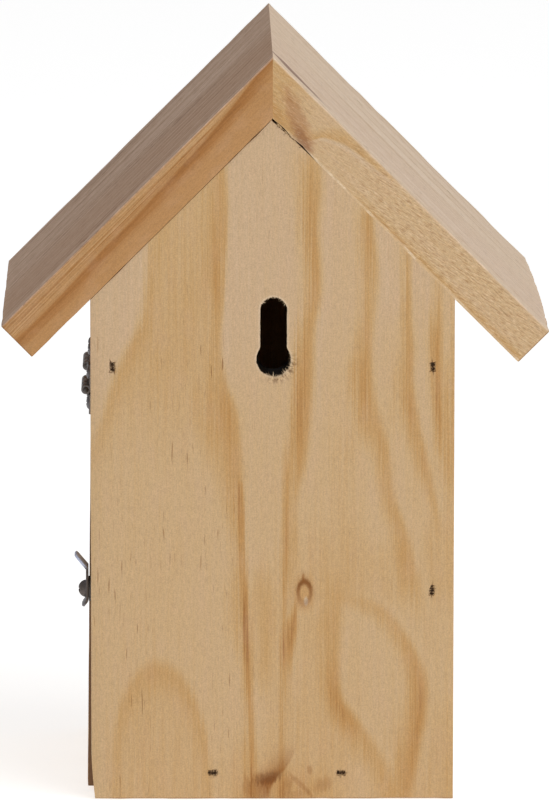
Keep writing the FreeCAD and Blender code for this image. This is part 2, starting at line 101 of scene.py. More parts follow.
def softbox(name, side, distance, size, watts):
    """A square soft light that looks at the middle of the box from one side."""
    lamp = bpy.data.objects.new(name, bpy.data.lights.new(name, "AREA"))
    lamp.data.size = size
    lamp.data.energy = watts
    towards = Vector(side).normalized()
    lamp.location = AIM + towards * distance
    lamp.rotation_euler = (-towards).to_track_quat("-Z", "Y").to_euler()
    bpy.context.scene.collection.objects.link(lamp)


softbox("key_light", side=(-0.60, 0.45, 0.66), distance=1.8, size=1.8, watts=18.5)
softbox("fill_light", side=(0.75, 0.62, 0.22), distance=2.2, size=1.6, watts=2.0)

world = bpy.data.worlds.new("studio")
world.use_nodes = True
world.node_tree.nodes["Background"].inputs["Color"].default_value = WHITE
world.node_tree.nodes["Background"].inputs["Strength"].default_value = SKY
bpy.context.scene.world = world
bpy.context.scene.view_settings.view_transform = "Standard"

# %% [markdown]
# Sums with nodes
#
# A finish is a sum of many small patterns. Wiring each Math node by hand hides the sum, so this class
# wraps one socket and answers to + - * and /: the expression reads as arithmetic, and the nodes appear
# behind it. Every other kind of node comes from the same method, node(): its settings first, then its
# sockets. Geometry Nodes use the same Math node, so the class serves the trees that grow screws and
# splinters as well.

# %% One socket that does arithmetic
class Wire:
    """A node's output socket that takes part in Python arithmetic."""

    def __init__(self, socket):
        self.socket = socket

    def node(self, kind, settings=(), sockets=(), out=0):
        """Add any node to this tree: its settings first, then the values or links of its sockets."""
        tree = self.socket.id_data
        made = tree.nodes.new(kind)
        for name, value in dict(settings).items():
            if name == "stops":
                set_stops(made.color_ramp, value)
            elif name == "points":
                set_points(made.mapping, value)
            else:
                setattr(made, name, value)
        for name, value in dict(sockets).items():
            for item in value if isinstance(value, list) else [value]:
                if isinstance(item, Wire):
                    tree.links.new(item.socket, made.inputs[name])
                else:
                    made.inputs[name].default_value = item
        return Wire(made.outputs[out])

    def maths(self, operation, *values):
        """A Math node on some values or wires."""
        return self.node("ShaderNodeMath", {"operation": operation}, dict(enumerate(values)))

    def __add__(self, other):
        return self.maths("ADD", self, other)

    def __sub__(self, other):
        return self.maths("SUBTRACT", self, other)

    def __rsub__(self, other):
        return self.maths("SUBTRACT", other, self)

    def __mul__(self, other):
        return self.maths("MULTIPLY", self, other)

    def __truediv__(self, other):
        return self.maths("DIVIDE", self, other)

    def __rtruediv__(self, other):
        return self.maths("DIVIDE", other, self)

    def __abs__(self):
        return self.maths("ABSOLUTE", self)

    __radd__ = __add__
    __rmul__ = __mul__


def set_stops(ramp, stops):
    """Fill a colour ramp with (place, colour) stops."""
    while len(ramp.elements) < len(stops):
        ramp.elements.new(1.0)
    for element, (place, colour) in zip(ramp.elements, stops):
        element.position = place
        element.color = colour


def set_points(mapping, points):
    """Draw a curve through (place, height) points."""
    mapping.extend = "HORIZONTAL"
    curve = mapping.curves[0]
    while len(curve.points) < len(points):
        curve.points.new(0.5, 0.5)
    for point, place in zip(curve.points, points):
        point.location = place
    mapping.update()


print("reflected operators:", [name for name in vars(Wire) if name.startswith("__r")])

# %% [markdown]
# Words for patterns
#
# A few short functions name what the finishes are made of: an eased step, clouds of noise, a length
# along a board. Lengths are in millimetres, so that a pattern can be read against the real thing with a
# ruler.

# %% Pattern words
def eased(value, low, high):
    """0 at low and 1 at high, with a soft start and end. High may be the smaller one."""
    return value.node(
        "ShaderNodeMapRange",
        {"interpolation_type": "SMOOTHSTEP"},
        {"Value": value, "From Min": low, "From Max": high},
    )


def bundle(x, y, z):
    """Three numbers as one vector. The first is a wire, the others may be."""
    return x.node("ShaderNodeCombineXYZ", (), {0: x, 1: y, 2: z})


def scaled(vector, factor):
    """A vector made longer or shorter."""
    return vector.node("ShaderNodeVectorMath", {"operation": "SCALE"}, {0: vector, "Scale": factor})


def clouds(at, detail=2.0, rough=0.5):
    """Smooth noise from 0 to 1, one cloud for each unit of the vector."""
    return at.node(
        "ShaderNodeTexNoise", (), {"Vector": at, "Scale": 1.0, "Detail": detail, "Roughness": rough}
    )


def length_of(x, y):
    """The length of a slanted line from its two sides."""
    return x.maths("SQRT", x * x + y * y)


def blended(amount, first, second):
    """A colour between two colours."""
    return amount.node("ShaderNodeMix", {"data_type": "RGBA"}, {0: amount, 6: first, 7: second}, out=2)


def shaded(colour, light):
    """A colour made lighter or darker: 1 keeps it as it is."""
    return light.node("ShaderNodeHueSaturation", (), {"Color": colour, "Value": light})


def tint(red, green, blue):
    """A colour by its screen values (sRGB) from 0 to 255, as the linear colour that a shader takes."""
    def linear(value):
        share = value / 255
        return share / 12.92 if share <= 0.04045 else ((share + 0.055) / 1.055) ** 2.4
    return (linear(red), linear(green), linear(blue), 1.0)


print("a mid grey in shader values:", [round(c, 3) for c in tint(128, 128, 128)])

# %% [markdown]
# Starting a finish
#
# Every finish starts from the same shader, and reads Object coordinates, so that a pattern stays on its
# piece when the piece moves. Patterns are then linked to the few sockets that an exported model can
# keep. The first finish is the pale paper under the box, with a little glow of its own.

# %% Starting and linking a finish
PAPER_SHADES = ((0.86, 0.86, 0.86, 1.0), (0.88, 0.88, 0.88, 1.0))
PAPER_GLOW = 0.62


def start_finish(name, roughness, specular=0.3):
    """A new material: gives it, its shader node and its Object coordinates."""
    material = bpy.data.materials.new(name)
    material.use_nodes = True
    shader = material.node_tree.nodes["Principled BSDF"]
    shader.inputs["Roughness"].default_value = roughness
    shader.inputs["Specular IOR Level"].default_value = specular
    where = material.node_tree.nodes.new("ShaderNodeTexCoord").outputs["Object"]
    return SimpleNamespace(material=material, shader=shader, where=Wire(where))


def connect(finish, **wires):
    """Link wires to the shader's sockets, named in words: base_color goes to Base Color."""
    for word, wire in wires.items():
        socket = finish.shader.inputs[word.replace("_", " ").title()]
        finish.material.node_tree.links.new(wire.socket, socket)


def relief(height, depth):
    """A bump of a real depth in metres."""
    return height.node("ShaderNodeBump", (), {"Strength": 1.0, "Distance": depth, "Height": height})


paper = start_finish("floor_paper", roughness=0.8)
connect(paper, base_color=blended(clouds(paper.where), *PAPER_SHADES))
paper.shader.inputs["Emission Color"].default_value = WHITE
paper.shader.inputs["Emission Strength"].default_value = PAPER_GLOW
print("first finish:", paper.material.name)

# %% [markdown]
# The floor
#
# The photograph is cut out on white. A wide floor of glowing paper gives the same clean ground, and
# still lets the box stand in a soft shadow.

# %% Floor
FLOOR_HALF = 5.0
FLOOR_DROP = 0.2 * MM
floor_mesh = bpy.data.meshes.new("floor")
floor_mesh.from_pydata(
    [(x * FLOOR_HALF, y * FLOOR_HALF, -FLOOR_DROP) for x, y in ((-1, -1), (1, -1), (1, 1), (-1, 1))],
    [],
    [(0, 1, 2, 3)],
)
floor = bpy.data.objects.new("floor", floor_mesh)
bpy.context.scene.collection.objects.link(floor)
floor_mesh.materials.append(paper.material)
print("floor", 2 * FLOOR_HALF, "m wide")

# %% [markdown]
# Pine, board by board
#
# Pine is pale earlywood with darker, more golden bands of latewood, one pair for each year. The finish
# works with one number, the tone, from 0 for the palest earlywood to 1 for a knot, and a ramp turns
# tone into colour. Fine fibres, short resin flecks and a little grain run along the board, and its sawn
# ends are darker: end grain is darker, and at a board's foot the same dark line is also painted shade
# where the board stands on the floor.

# %% What every pine board shares
PINE_TONES = [
    (0.00, tint(204, 177, 146)),
    (0.20, tint(197, 167, 132)),
    (0.40, tint(197, 165, 123)),
    (0.60, tint(191, 153, 103)),
    (0.80, tint(183, 138, 83)),
    (1.00, tint(156, 107, 56)),
]
PINK = tint(200, 164, 134)
FLECK = tint(138, 96, 52)
# End grain is darker. At a board's foot this dark line is also painted shade where it stands on the floor.
END_GRAIN_AND_FOOT_SHADE = tint(136, 100, 66)
END_DARK_SHARE = 0.6
END_DARK_FULL = 0.2
END_DARK_GONE = 0.6
GRIT = 0.4 * MM
ROUGHNESS = 0.55
SEED_STEP = 37.0


def start_board(name, origin, across, depth, along, seed, ends=()):
    """A pine finish with the board's own rulers: across the grain, into the board and along the grain."""
    board = start_finish(name, roughness=0.62, specular=0.25)
    offset = board.where.node(
        "ShaderNodeVectorMath", {"operation": "SUBTRACT"},
        {0: board.where, 1: tuple(c * MM for c in origin)},
    )
    for ruler, axis in (("across", across), ("depth", depth), ("along", along)):
        millimetres = tuple(c / MM for c in Vector(axis).normalized())
        setattr(board, ruler, offset.node(
            "ShaderNodeVectorMath", {"operation": "DOT_PRODUCT"}, {0: offset, 1: millimetres},
            out="Value",
        ))
    board.seed = seed * SEED_STEP
    board.ends = ends
    return board


def stretched(board, wide, long, detail=2.0, rough=0.5, shift=0.0):
    """Clouds that are drawn out along the grain, by their width and length in millimetres."""
    return clouds(
        bundle(board.across / wide + (board.seed + shift), board.depth / wide, board.along / long),
        detail, rough,
    )


def finish_board(
    board, tone, tones=PINE_TONES, fibre=0.38, grain=0.44, flecks=0.8, roughen=0.05, wash=None
):
    """Turn a tone into the pine's colour, with fibres, flecks, darker ends (end grain, and painted shade at a
    foot), roughness and a fine relief.
    """
    fibres = stretched(board, 0.9, 30.0, detail=3.0, rough=0.7)
    hairs = stretched(board, 0.45, 2.6, detail=1.0, shift=7.0)
    grit = clouds(scaled(board.where, 1 / GRIT), 1.0)
    resin = eased(stretched(board, 18.0, 50.0, detail=1.0, shift=9.0), 0.42, 0.60)
    pores = resin * eased(stretched(board, 0.7, 9.0, detail=1.0, shift=11.0), 0.64, 0.75)
    shade = stretched(board, 14.0, 90.0, shift=5.0)
    toned = tone + (fibres - 0.5) * fibre + (shade - 0.5) * 0.14
    colour = toned.node("ShaderNodeValToRGB", {"stops": tones}, {"Fac": toned})
    pink = eased(stretched(board, 5.0, 12.0, shift=19.0), 0.45, 0.7) * 0.14
    colour = blended(pink, colour, PINK)
    colour = blended(pores * flecks, colour, FLECK)
    if wash:
        colour = wash(colour)
    # Darker ends: end grain, and at a foot on the floor also painted shade.
    for end, inwards in zip(board.ends, (1, -1)):
        darkened_end = eased(board.along, end + END_DARK_GONE * inwards, end + END_DARK_FULL * inwards)
        colour = blended(darkened_end * END_DARK_SHARE, colour, END_GRAIN_AND_FOOT_SHADE)
    colour = shaded(colour, 1.0 + (grit - 0.5) * grain + (hairs - 0.5) * grain * 0.6)
    height = fibres * 0.5 + hairs * 0.5 - pores * 0.8
    bump = relief(height, roughen * MM)
    connect(board, base_color=colour, normal=bump, roughness=ROUGHNESS + fibres * 0.16)
    return board.material


print("pine has", len(PINE_TONES), "tones")

# %% [markdown]
# The grain of the back panel
#
# The back panel fills the photograph, so its figure is drawn. Each growth band is given by a few
# heights on the panel, with the place of its right edge, its width and its strength there, and Float
# Curves join them smoothly. Places are in millimetres: to the right of the panel's middle, as seen
# from behind, and up from its foot. A band fades slowly to its left and sooner on its right, and fine
# streaks feather its edges.

# %% Drawn growth bands
PANEL_TOP = 240.0
PANEL_SPAN = 130.0
WIDEST_BAND = 30.0

BANDS = {
    "left of the keyhole": [
        (206, -16.0, 6, 0.10), (190, -15.0, 6, 0.16), (170, -15.7, 6, 0.18), (150, -17.0, 5.5, 0.16),
        (138, -16.0, 7, 0.2), (125, -12.5, 11, 0.28), (110, -10.4, 9, 0.28), (95, -9.8, 6, 0.3),
        (78, -9.0, 4.5, 0.26), (60, -8.0, 7, 0.22), (40, -6.8, 4, 0.2), (4, -5.5, 5, 0.15),
    ],
    "right of the keyhole": [
        (210, 14.3, 8, 0.2), (200, 14.6, 8, 0.48), (185, 14.2, 6.5, 0.52), (165, 15.1, 6.5, 0.5),
        (152, 12.8, 6, 0.46), (140, 12.4, 6.5, 0.5), (122, 11.3, 6.5, 0.42), (108, 9.5, 6, 0.3),
        (98, 7.3, 4.2, 0.22), (84, 6.9, 4, 0.18), (70, 6.0, 3, 0.12), (58, 5.5, 2.5, 0.0),
    ],
    "under the right roof": [
        (194, 31.0, 4, 0.1), (184, 31.8, 5, 0.42), (172, 33.0, 5.5, 0.4), (160, 32.5, 5, 0.34),
        (148, 31.6, 6, 0.36), (135, 31.8, 7.5, 0.38), (122, 34.0, 7, 0.34), (112, 37.0, 6, 0.26),
        (100, 38.3, 5.5, 0.28), (88, 42.0, 5.5, 0.28), (76, 45.0, 6, 0.24), (64, 47.5, 6, 0.1),
        (56, 49.0, 5, 0.0),
    ],
    "right shoulder": [
        (184, 43.0, 3.5, 0.05), (174, 43.8, 4, 0.36), (160, 44.2, 4.2, 0.34), (147, 44.8, 4.5, 0.34),
        (134, 44.6, 4.8, 0.4), (122, 46.4, 5, 0.36), (112, 48.8, 5, 0.32), (102, 51.0, 4, 0.24),
        (92, 53.0, 3, 0.12), (84, 54.0, 3, 0.0),
    ],
    "right edge": [
        (168, 53.5, 3.5, 0.2), (155, 53.2, 4, 0.36), (146, 53.0, 4.2, 0.46), (132, 53.0, 3.4, 0.42),
        (120, 53.6, 3, 0.25), (110, 54.0, 3, 0.0),
    ],
    "right rim": [
        (168, 62.0, 9, 0.3), (150, 62.0, 9, 0.36), (130, 62.0, 10, 0.4), (112, 62.0, 9, 0.36),
        (98, 62.0, 7, 0.26), (80, 62.0, 6, 0.12), (60, 62.0, 6, 0.1), (4, 62.0, 7, 0.16),
    ],
    "oval, left half": [
        (76, 21.0, 6, 0.0), (66, 22.0, 6, 0.12), (58, 21.0, 6, 0.2), (48, 20.8, 6, 0.24),
        (40, 21.0, 6, 0.3), (33, 22.2, 6, 0.34), (28, 25.0, 7, 0.34), (23, 28.8, 8, 0.32),
        (18, 32.2, 8, 0.26),
        (13, 35.0, 8, 0.22), (8, 37.0, 7, 0.2), (2, 38.6, 7, 0.18),
    ],
    "oval, right half": [
        (66, 30.0, 12, 0.08), (62, 35.0, 9, 0.2), (57, 39.6, 7, 0.22), (50, 44.0, 6, 0.26),
        (43, 47.0, 6, 0.32), (36, 48.4, 6, 0.36), (27, 48.0, 6, 0.36), (17, 46.6, 6, 0.34), (9, 45.2, 6, 0.3),
        (2, 44.0, 6, 0.26),
    ],
    "resin streak": [
        (104, -10.2, 1.2, 0.0), (98, -10.0, 1.3, 0.26), (83, -9.5, 1.4, 0.18), (70, -8.9, 1.5, 0.22),
        (57, -8.4, 1.6, 0.42), (48, -8.0, 1.6, 0.42), (43, -7.9, 1.5, 0.24), (25, -6.9, 1.4, 0.2),
        (3, -6.5, 1.4, 0.15),
    ],
    "line below the keyhole": [
        (118, 4.8, 1.6, 0.0), (98, 4.5, 1.8, 0.24), (80, 4.4, 1.8, 0.26), (64, 4.1, 1.6, 0.2),
        (48, 3.9, 2.0, 0.24), (30, 3.6, 1.8, 0.2), (6, 3.4, 2.2, 0.24),
    ],
    "tail of the knot": [
        (66, 8.0, 1.2, 0.0), (61, 7.5, 2.0, 0.34), (55, 7.2, 3.6, 0.46), (49, 6.4, 3.6, 0.4),
        (40, 5.6, 2.2, 0.15), (30, 5.2, 1.4, 0.05),
    ],
}
LEFT_SWEEP = [
    (204, 36.0, 6, 0.0), (180, 40.0, 5, 0.08), (165, 41.2, 5, 0.1), (155, 43.0, 5, 0.1),
    (145, 48.0, 6, 0.12), (135, 52.0, 5, 0.12), (125, 55.0, 5, 0.12), (116, 58.0, 5, 0.1),
    (106, 60.0, 5, 0.0),
]


def drawn(height, points):
    """A drawn curve over the panel's height."""
    return height.node("ShaderNodeFloatCurve", {"points": sorted(points)}, {"Value": height})


def band_edge(height, rows):
    """The drawn edge of a growth band, in millimetres."""
    curve = drawn(height, [(z / PANEL_TOP, e / PANEL_SPAN + 0.5) for z, e, w, s in rows])
    return (curve - 0.5) * PANEL_SPAN


def growth_band(sideways, height, rows, streaks):
    """The tone that one band adds: long and soft on its left, shorter on its right, paler past its edge."""
    width = drawn(height, [(z / PANEL_TOP, w / WIDEST_BAND) for z, e, w, s in rows]) * WIDEST_BAND
    strength = drawn(height, [(z / PANEL_TOP, s) for z, e, w, s in rows])
    inside = band_edge(height, rows) - sideways
    share = inside / width
    body = eased(share, -0.35, 0.3) * eased(share, 1.5, 0.25) * (1.0 + streaks * 1.8)
    glow = eased(inside, -6.0, -1.0) * eased(inside, 1.0, -1.0)
    return strength * (body - glow * 0.12)


print(len(BANDS) + 1, "growth bands drawn by hand")

# %% [markdown]
# Broad tones of the back panel
#
# Between the growth bands lie broader tones. On the upper left the wood is golden from one band to the
# next, on the lower left the saw has cut tall arches, and here and there lies a field that is a little
# more golden or paler. They could be painted in an image, but that is only as fine as its pixels, so
# they are ellipses and eased steps that add to the tone.

# %% Tone of the back panel
PANEL_BACK = 67.5
FIGURE_SHIFT = 0.6
FEATHER = 4.6
PANEL_TONE = 0.39
PALER_TOP = 0.18
ARCH_MIDDLE = (-36.5, 4.0)
ARCH_HALVES = (16.2, 40.5)
ARCH_LEAN = 0.03
FOOT_MIDDLE = (4.0, 1.0)
FOOT_HALVES = (21.0, 14.0)
FIELDS = [
    ((-4.0, 55.0), (6.0, 24.0), 0.20), ((12.0, 68.0), (13.0, 24.0), 0.10),
    ((12.0, 20.0), (18.0, 36.0), 0.10), ((37.0, 73.0), (8.0, 13.0), 0.10),
    ((54.0, 78.0), (8.0, 18.0), 0.09), ((49.0, 12.0), (15.0, 26.0), 0.10),
    ((36.5, 134.0), (5.0, 26.0), 0.12), ((44.0, 153.0), (6.0, 16.0), 0.10),
    ((-20.0, 143.0), (6.0, 24.0), -0.10), ((28.0, 100.0), (6.0, 18.0), -0.08),
    ((-8.5, 7.0), (10.0, 15.0), 0.12),
]


def ellipse(sideways, height, middle, halves):
    """0 in the middle of an ellipse, 1 on its line."""
    return length_of((sideways - middle[0]) / halves[0], (height - middle[1]) / halves[1])


def golden_sweep(board, sideways, height, streaks):
    """The golden wood of the upper left, from the left sweep to the band beside the keyhole."""
    left = eased(sideways + band_edge(height, LEFT_SWEEP), -2.0, 3.0)
    right = eased(band_edge(height, BANDS["left of the keyhole"]) - sideways, -1.0, 1.0)
    return left * right * eased(board.along, 100, 152) * (0.3 + streaks * 0.3)


def cut_arch(board, sideways):
    """The tall arch on the lower left, with a darker rim that fades towards the foot."""
    arch = ellipse(sideways + (board.along - 20) * ARCH_LEAN, board.along, ARCH_MIDDLE, ARCH_HALVES)
    rim = 0.09 + 0.15 * eased(arch, 0.66, 0.94) * (0.5 + 0.5 * eased(board.along, 0, 40))
    return eased(arch, 1.09, 0.93) * rim


def back_tone(board):
    """The drawn figure of the back panel."""
    streaks = stretched(board, 0.55, 48.0, detail=3.0, rough=0.6, shift=3.0) - 0.5
    sway = stretched(board, 26.0, 80.0, detail=1.0, shift=2.0) - 0.5
    sideways = board.across + sway * 2.0 + streaks * FEATHER
    height = board.along / PANEL_TOP
    tone = PANEL_TONE - PALER_TOP * eased(board.along, 100, 165)
    for rows in BANDS.values():
        tone = tone + growth_band(sideways, height, rows, streaks)
    tone = tone + growth_band(sideways * -1.0, height, LEFT_SWEEP, streaks)
    tone = tone + golden_sweep(board, sideways, height, streaks)
    tone = tone + cut_arch(board, sideways)
    for middle, halves, amount in FIELDS:
        tone = tone + eased(ellipse(sideways, board.along, middle, halves), 1.2, 0.4) * amount
    foot = ellipse(sideways, board.along, FOOT_MIDDLE, FOOT_HALVES)
    return tone + eased(foot, 1.0, 0.2) * (0.2 + streaks * 0.5)


back_board = start_board(
    "pine_of_back_panel", origin=(-FIGURE_SHIFT, PANEL_BACK, 0),
    across=(-1, 0, 0), depth=(0, -1, 0), along=(0, 0, 1), seed=1, ends=(0.0,),
)
back_figure = back_tone(back_board)
print("tone of the back panel:", len(back_board.material.node_tree.nodes), "nodes")

# %% [markdown]
# Knots of the back panel
#
# The panel has one open-eyed knot right of its middle and half a knot on its lower edge. The eye is a
# heart inside a rim, so it is drawn as rings of an ellipse. The half knot runs out into the wood like a
# flame, so it has a drawn edge and some leaning stains. One function lays a ragged stain, and the lists
# say where.

# %% Knots
EYE_KNOT = (9.65, 67.4)
EYE_HALVES = (2.45, 4.3)
EYE_HALO = tint(178, 128, 70)
EYE_HEART = tint(192, 150, 98)
EYE_RIM = tint(126, 74, 24)
PALE_TIP = tint(204, 188, 166)
KNOT_BROWN = tint(138, 82, 28)
KNOT_CORE = tint(88, 54, 30)
FOOT_EDGE = [
    (0, -1.6, 9, 0.4), (3, -1.0, 9, 0.68), (7, 0.9, 10, 0.85), (9.5, 3.4, 9, 0.62), (13.5, 5.8, 7, 0.36),
    (19, 7.6, 5, 0.0),
]
FOOT_STAINS = [
    ((-1.6, 6.0), (2.4, 1.6), 0.9, 0.7), ((-4.6, 6.4), (3.4, 2.4), -0.3, 0.4),
    ((-8.6, 4.0), (1.6, 3.6), 0.0, 0.3), ((4.4, 4.6), (1.6, 4.0), 0.2, 0.3),
    ((8.4, 4.6), (1.0, 4.6), -0.9, 0.26), ((10.6, 3.0), (0.8, 3.6), -0.8, 0.22),
    ((15.6, 4.4), (2.8, 2.6), 0.4, 0.3), ((11.4, 9.6), (0.8, 1.6), 0.0, 0.35),
    ((6.6, 1.4), (3.4, 1.4), 0.4, 0.2),
]
FOOT_CORE = ((-1.9, 6.9), (4.0, 2.2), 0.7, 0.34)


def stain(colour, sideways, height, middle, halves, lean, amount, ink, rag):
    """A ragged, leaning stain of one ink."""
    upright = sideways - middle[0] - (height - middle[1]) * lean
    away = length_of(upright / halves[0], (height - middle[1]) / halves[1]) + rag
    return blended(eased(away, 1.3, 0.5) * amount, colour, ink)


def eye_knot(board, colour):
    """The open eye, with a pale tip inside its foot and a dark tip on its top."""
    rag = (stretched(board, 0.9, 1.6, rough=0.6, shift=13.0) - 0.5) * 0.5
    across, along = EYE_KNOT
    place = (board.across, board.along)
    eye = ellipse(*place, EYE_KNOT, EYE_HALVES) + rag * 0.6
    top = eased(board.along, along - 4.5, along + 3.5)
    colour = blended(eased(eye, 1.9, 0.9) * 0.4, colour, EYE_HALO)
    colour = blended(eased(eye, 0.95, 0.5) * 0.8, colour, EYE_HEART)
    colour = stain(colour, *place, (across + 0.5, along - 2.9), (0.7, 1.5), 0.0, 0.6, PALE_TIP, rag)
    colour = blended(eased(abs(eye - 0.82), 0.42, 0.06) * (0.3 + 0.62 * top), colour, EYE_RIM)
    return stain(colour, *place, (across - 0.4, along + 4.8), (0.5, 1.4), 0.0, 0.6, KNOT_BROWN, rag)


def half_knot(board, colour):
    """The flame on the foot of the panel, with its stains and its dark core."""
    fibrous = (stretched(board, 0.7, 5.0, detail=3.0, rough=0.7, shift=15.0) - 0.5) * 2.4
    place = (board.across, board.along)
    height = board.along / PANEL_TOP
    inside = band_edge(height, FOOT_EDGE) - board.across
    strength = drawn(height, [(z / PANEL_TOP, s) for z, e, w, s in FOOT_EDGE])
    flame = eased(inside, -0.5, 0.6) * eased(inside + fibrous * 2.4, 10.0, 0.5) * (1.0 + fibrous * 0.9)
    colour = blended(flame * strength, colour, KNOT_BROWN)
    for middle, halves, lean, amount in FOOT_STAINS:
        colour = stain(colour, *place, middle, halves, lean, amount, KNOT_BROWN, fibrous)
    return stain(colour, *place, *FOOT_CORE, KNOT_CORE, fibrous * 1.4)


print("the half knot has", len(FOOT_STAINS) + 1, "stains")

# %% [markdown]
# Brad marks and the dark keyhole
#
# Round each brad the wood is bruised and split. The keyhole has a pale torn rim, with broken fibres at
# its lower right, which get a painted highlight with painted shade in the gaps between them. The wall
# of the keyhole is painted nearly black, as painted shade. The mesh holds the tears themselves, but
# only colour makes them look bruised and dark, so the finish adds it by the distance to each mark.

# %% Marks on the back panel
BRAD_MARKS = [
    (-51.6, 140.5, -0.34), (50.4, 140.5, -0.1), (50.4, 68.0, 0.08), (-19.7, 8.5, 0.0), (21.5, 8.5, 0.0),
]
FOOT_ROW = 20.0
# Dark brown for the splits round the brads, and for painted shade between the keyhole's torn fibres.
SPLIT_WOOD_AND_SHADE = tint(96, 62, 34)
BRUISE = tint(74, 46, 24)
# Pale torn fibres with a painted highlight.
LIT_BROKEN_FIBRE = tint(222, 200, 168)
TORN_RIM = tint(226, 206, 176)
# Painted shade: the keyhole's wall is painted nearly black.
KEYHOLE_WALL_SHADE = tint(26, 17, 11)
KEYHOLE_X = -0.3
KEYHOLE_SIDEWAYS = -KEYHOLE_X - FIGURE_SHIFT
KEYHOLE_HEIGHT = 143.0
KEYHOLE_RADIUS = 5.4
SLOT_RADIUS = 4.2
SLOT_TOP = 158.7
FRAY_RAYS = 7.0


def bruises(board, colour):
    """Dark splits round the brads: upright at the sides, level in the row at the foot."""
    rag = (stretched(board, 0.45, 1.0, rough=0.6, shift=17.0) - 0.5) * 1.3
    place = (board.across, board.along)
    for sideways, height, lean in BRAD_MARKS:
        spot = (sideways, height)
        split, bruise = ((0.3, 2.8), (0.9, 1.7)) if height > FOOT_ROW else ((1.9, 0.36), (1.6, 0.9))
        colour = stain(colour, *place, spot, split, lean, 0.7, SPLIT_WOOD_AND_SHADE, rag * 0.6)
        colour = stain(colour, *place, spot, bruise, lean, 0.5, BRUISE, rag)
    return colour


def frayed(board, colour):
    """Broken fibres at the keyhole's lower right, along rays from its middle: pale with a painted highlight,
    and painted shade in the gaps between them.
    """
    across = board.across - KEYHOLE_SIDEWAYS
    rise = board.along - KEYHOLE_HEIGHT
    turn = across.maths("ARCTAN2", rise, across)
    away = length_of(across, rise)
    rays = clouds(bundle(turn * FRAY_RAYS, away / 2.0, 0.0), 2.0, 0.7)
    low_right = eased(turn, -2.2, -1.3) * eased(turn, 0.5, -0.4)
    reach = eased(away, KEYHOLE_RADIUS + 3.6, KEYHOLE_RADIUS + 0.4) * low_right
    # pale torn fibres with a painted highlight
    colour = blended(reach * eased(rays, 0.5, 0.3) * 0.5, colour, LIT_BROKEN_FIBRE)
    # painted shade in the gaps between the fibres
    return blended(reach * eased(rays, 0.44, 0.62) * 0.85, colour, SPLIT_WOOD_AND_SHADE)


def rim_and_wall_shade(board, colour):
    """The pale torn rim of the keyhole, and painted shade on its wall."""
    across = board.across - KEYHOLE_SIDEWAYS
    above = board.along.maths("MAXIMUM", board.along, KEYHOLE_HEIGHT)
    slot_line = above.maths("MINIMUM", above, SLOT_TOP)
    slot = length_of(across, board.along - slot_line) - SLOT_RADIUS
    hole = length_of(across, board.along - KEYHOLE_HEIGHT) - KEYHOLE_RADIUS
    near = slot.maths("MINIMUM", slot, hole)
    pale = eased(near, 1.0, 0.2) * eased(board.depth, 0.3, 0.1) * 0.4
    # painted shade on the keyhole's wall
    wall_shade = eased(near, 0.7, 0.1) * eased(board.depth, 0.25, 0.7)
    return blended(wall_shade, blended(pale, colour, TORN_RIM), KEYHOLE_WALL_SHADE)


def mark_back(colour):
    """All marks of the back panel, one over the other."""
    for mark in (eye_knot, half_knot, bruises, frayed, rim_and_wall_shade):
        colour = mark(back_board, colour)
    return colour


resinous = 0.15 + 0.62 * eased(back_board.across, -9.0, -17.0) * eased(back_board.along, 172.0, 156.0)
back_pine = finish_board(back_board, back_figure, flecks=resinous, wash=mark_back)
print("back panel finish:", len(back_pine.node_tree.nodes), "nodes")

# %% [markdown]
# The other boards
#
# The boards that the photograph hides are sawn from the same kind of log. Their figure follows a rule:
# rings round the heart of the tree, which lies behind the board, cut by the saw. Because a trunk
# tapers, the rings come out as arches, and a knot pushes them aside. The floor is the plainest of these
# boards.

# %% Rings cut by the saw
KNOT_REACH = (9.0, 22.0)


def flat_sawn(board, heart_across, heart_depth, spacing, taper, knot_list=()):
    """The tone of growth rings round a heart that lies across and below the board's face."""
    streaks = stretched(board, 0.6, 40.0, rough=0.6, shift=3.0) - 0.5
    bend = (stretched(board, 60.0, 70.0, detail=1.0, shift=21.0) - 0.5) * 26.0
    waver = (stretched(board, 16.0, 60.0, detail=1.0, shift=23.0) - 0.5) * spacing * 0.7
    radius = length_of(board.across - heart_across + bend, board.depth - heart_depth)
    radius = radius + board.along * taper + waver + streaks * FEATHER * 0.6
    for across, along, push in knot_list:
        away = ellipse(board.across, board.along, (across, along), KNOT_REACH)
        radius = radius + eased(away, 1.6, 0.0) * push
    ring = radius.maths("FRACT", radius / spacing)
    strength = 0.2 + 0.45 * stretched(board, 40.0, 200.0, detail=1.0, shift=29.0)
    return 0.27 + strength * eased(ring, 0.25, 0.9) * eased(ring, 1.0, 0.88) * (1.0 + streaks * 1.5)


base_board = start_board(
    "pine_of_floor", origin=(0, 0, 0),
    across=(1, 0, 0), depth=(0, 0, 1), along=(0, 1, 0), seed=5,
)
base_rings = flat_sawn(base_board, heart_across=3.0, heart_depth=60.0, spacing=12.0, taper=0.08)
base_pine = finish_board(base_board, base_rings)
print("floor finish:", len(base_pine.node_tree.nodes), "nodes")

# %% [markdown]
# Walls with knots
#
# The front panel, the fixed wall and the door have small sound knots, and the back edge of the door is
# painted darker, for dirt and as painted shade, since it lies behind the back panel. The knots' list
# serves twice: it bends the rings, and it says where the brown spots go.

# %% Walls with knots
PANEL_FRONT = -47.5
WALL_FACE = 58
FRONT_KNOTS = [(-31.0, 62.0, 30.0), (38.0, 112.0, -22.0)]
WALL_KNOTS = [(14.0, 48.0, 24.0)]
DOOR_KNOTS = [(-22.0, 88.0, 26.0)]
KNOT_HALO = tint(178, 136, 92)
KNOT_HEART = tint(156, 108, 66)
KNOT_RIM = tint(112, 74, 44)
# Dirt and painted shade on the door's back edge, behind the back panel.
EDGE_DIRT_AND_SHADE = tint(104, 68, 42)
DOOR_EDGE = 52.0


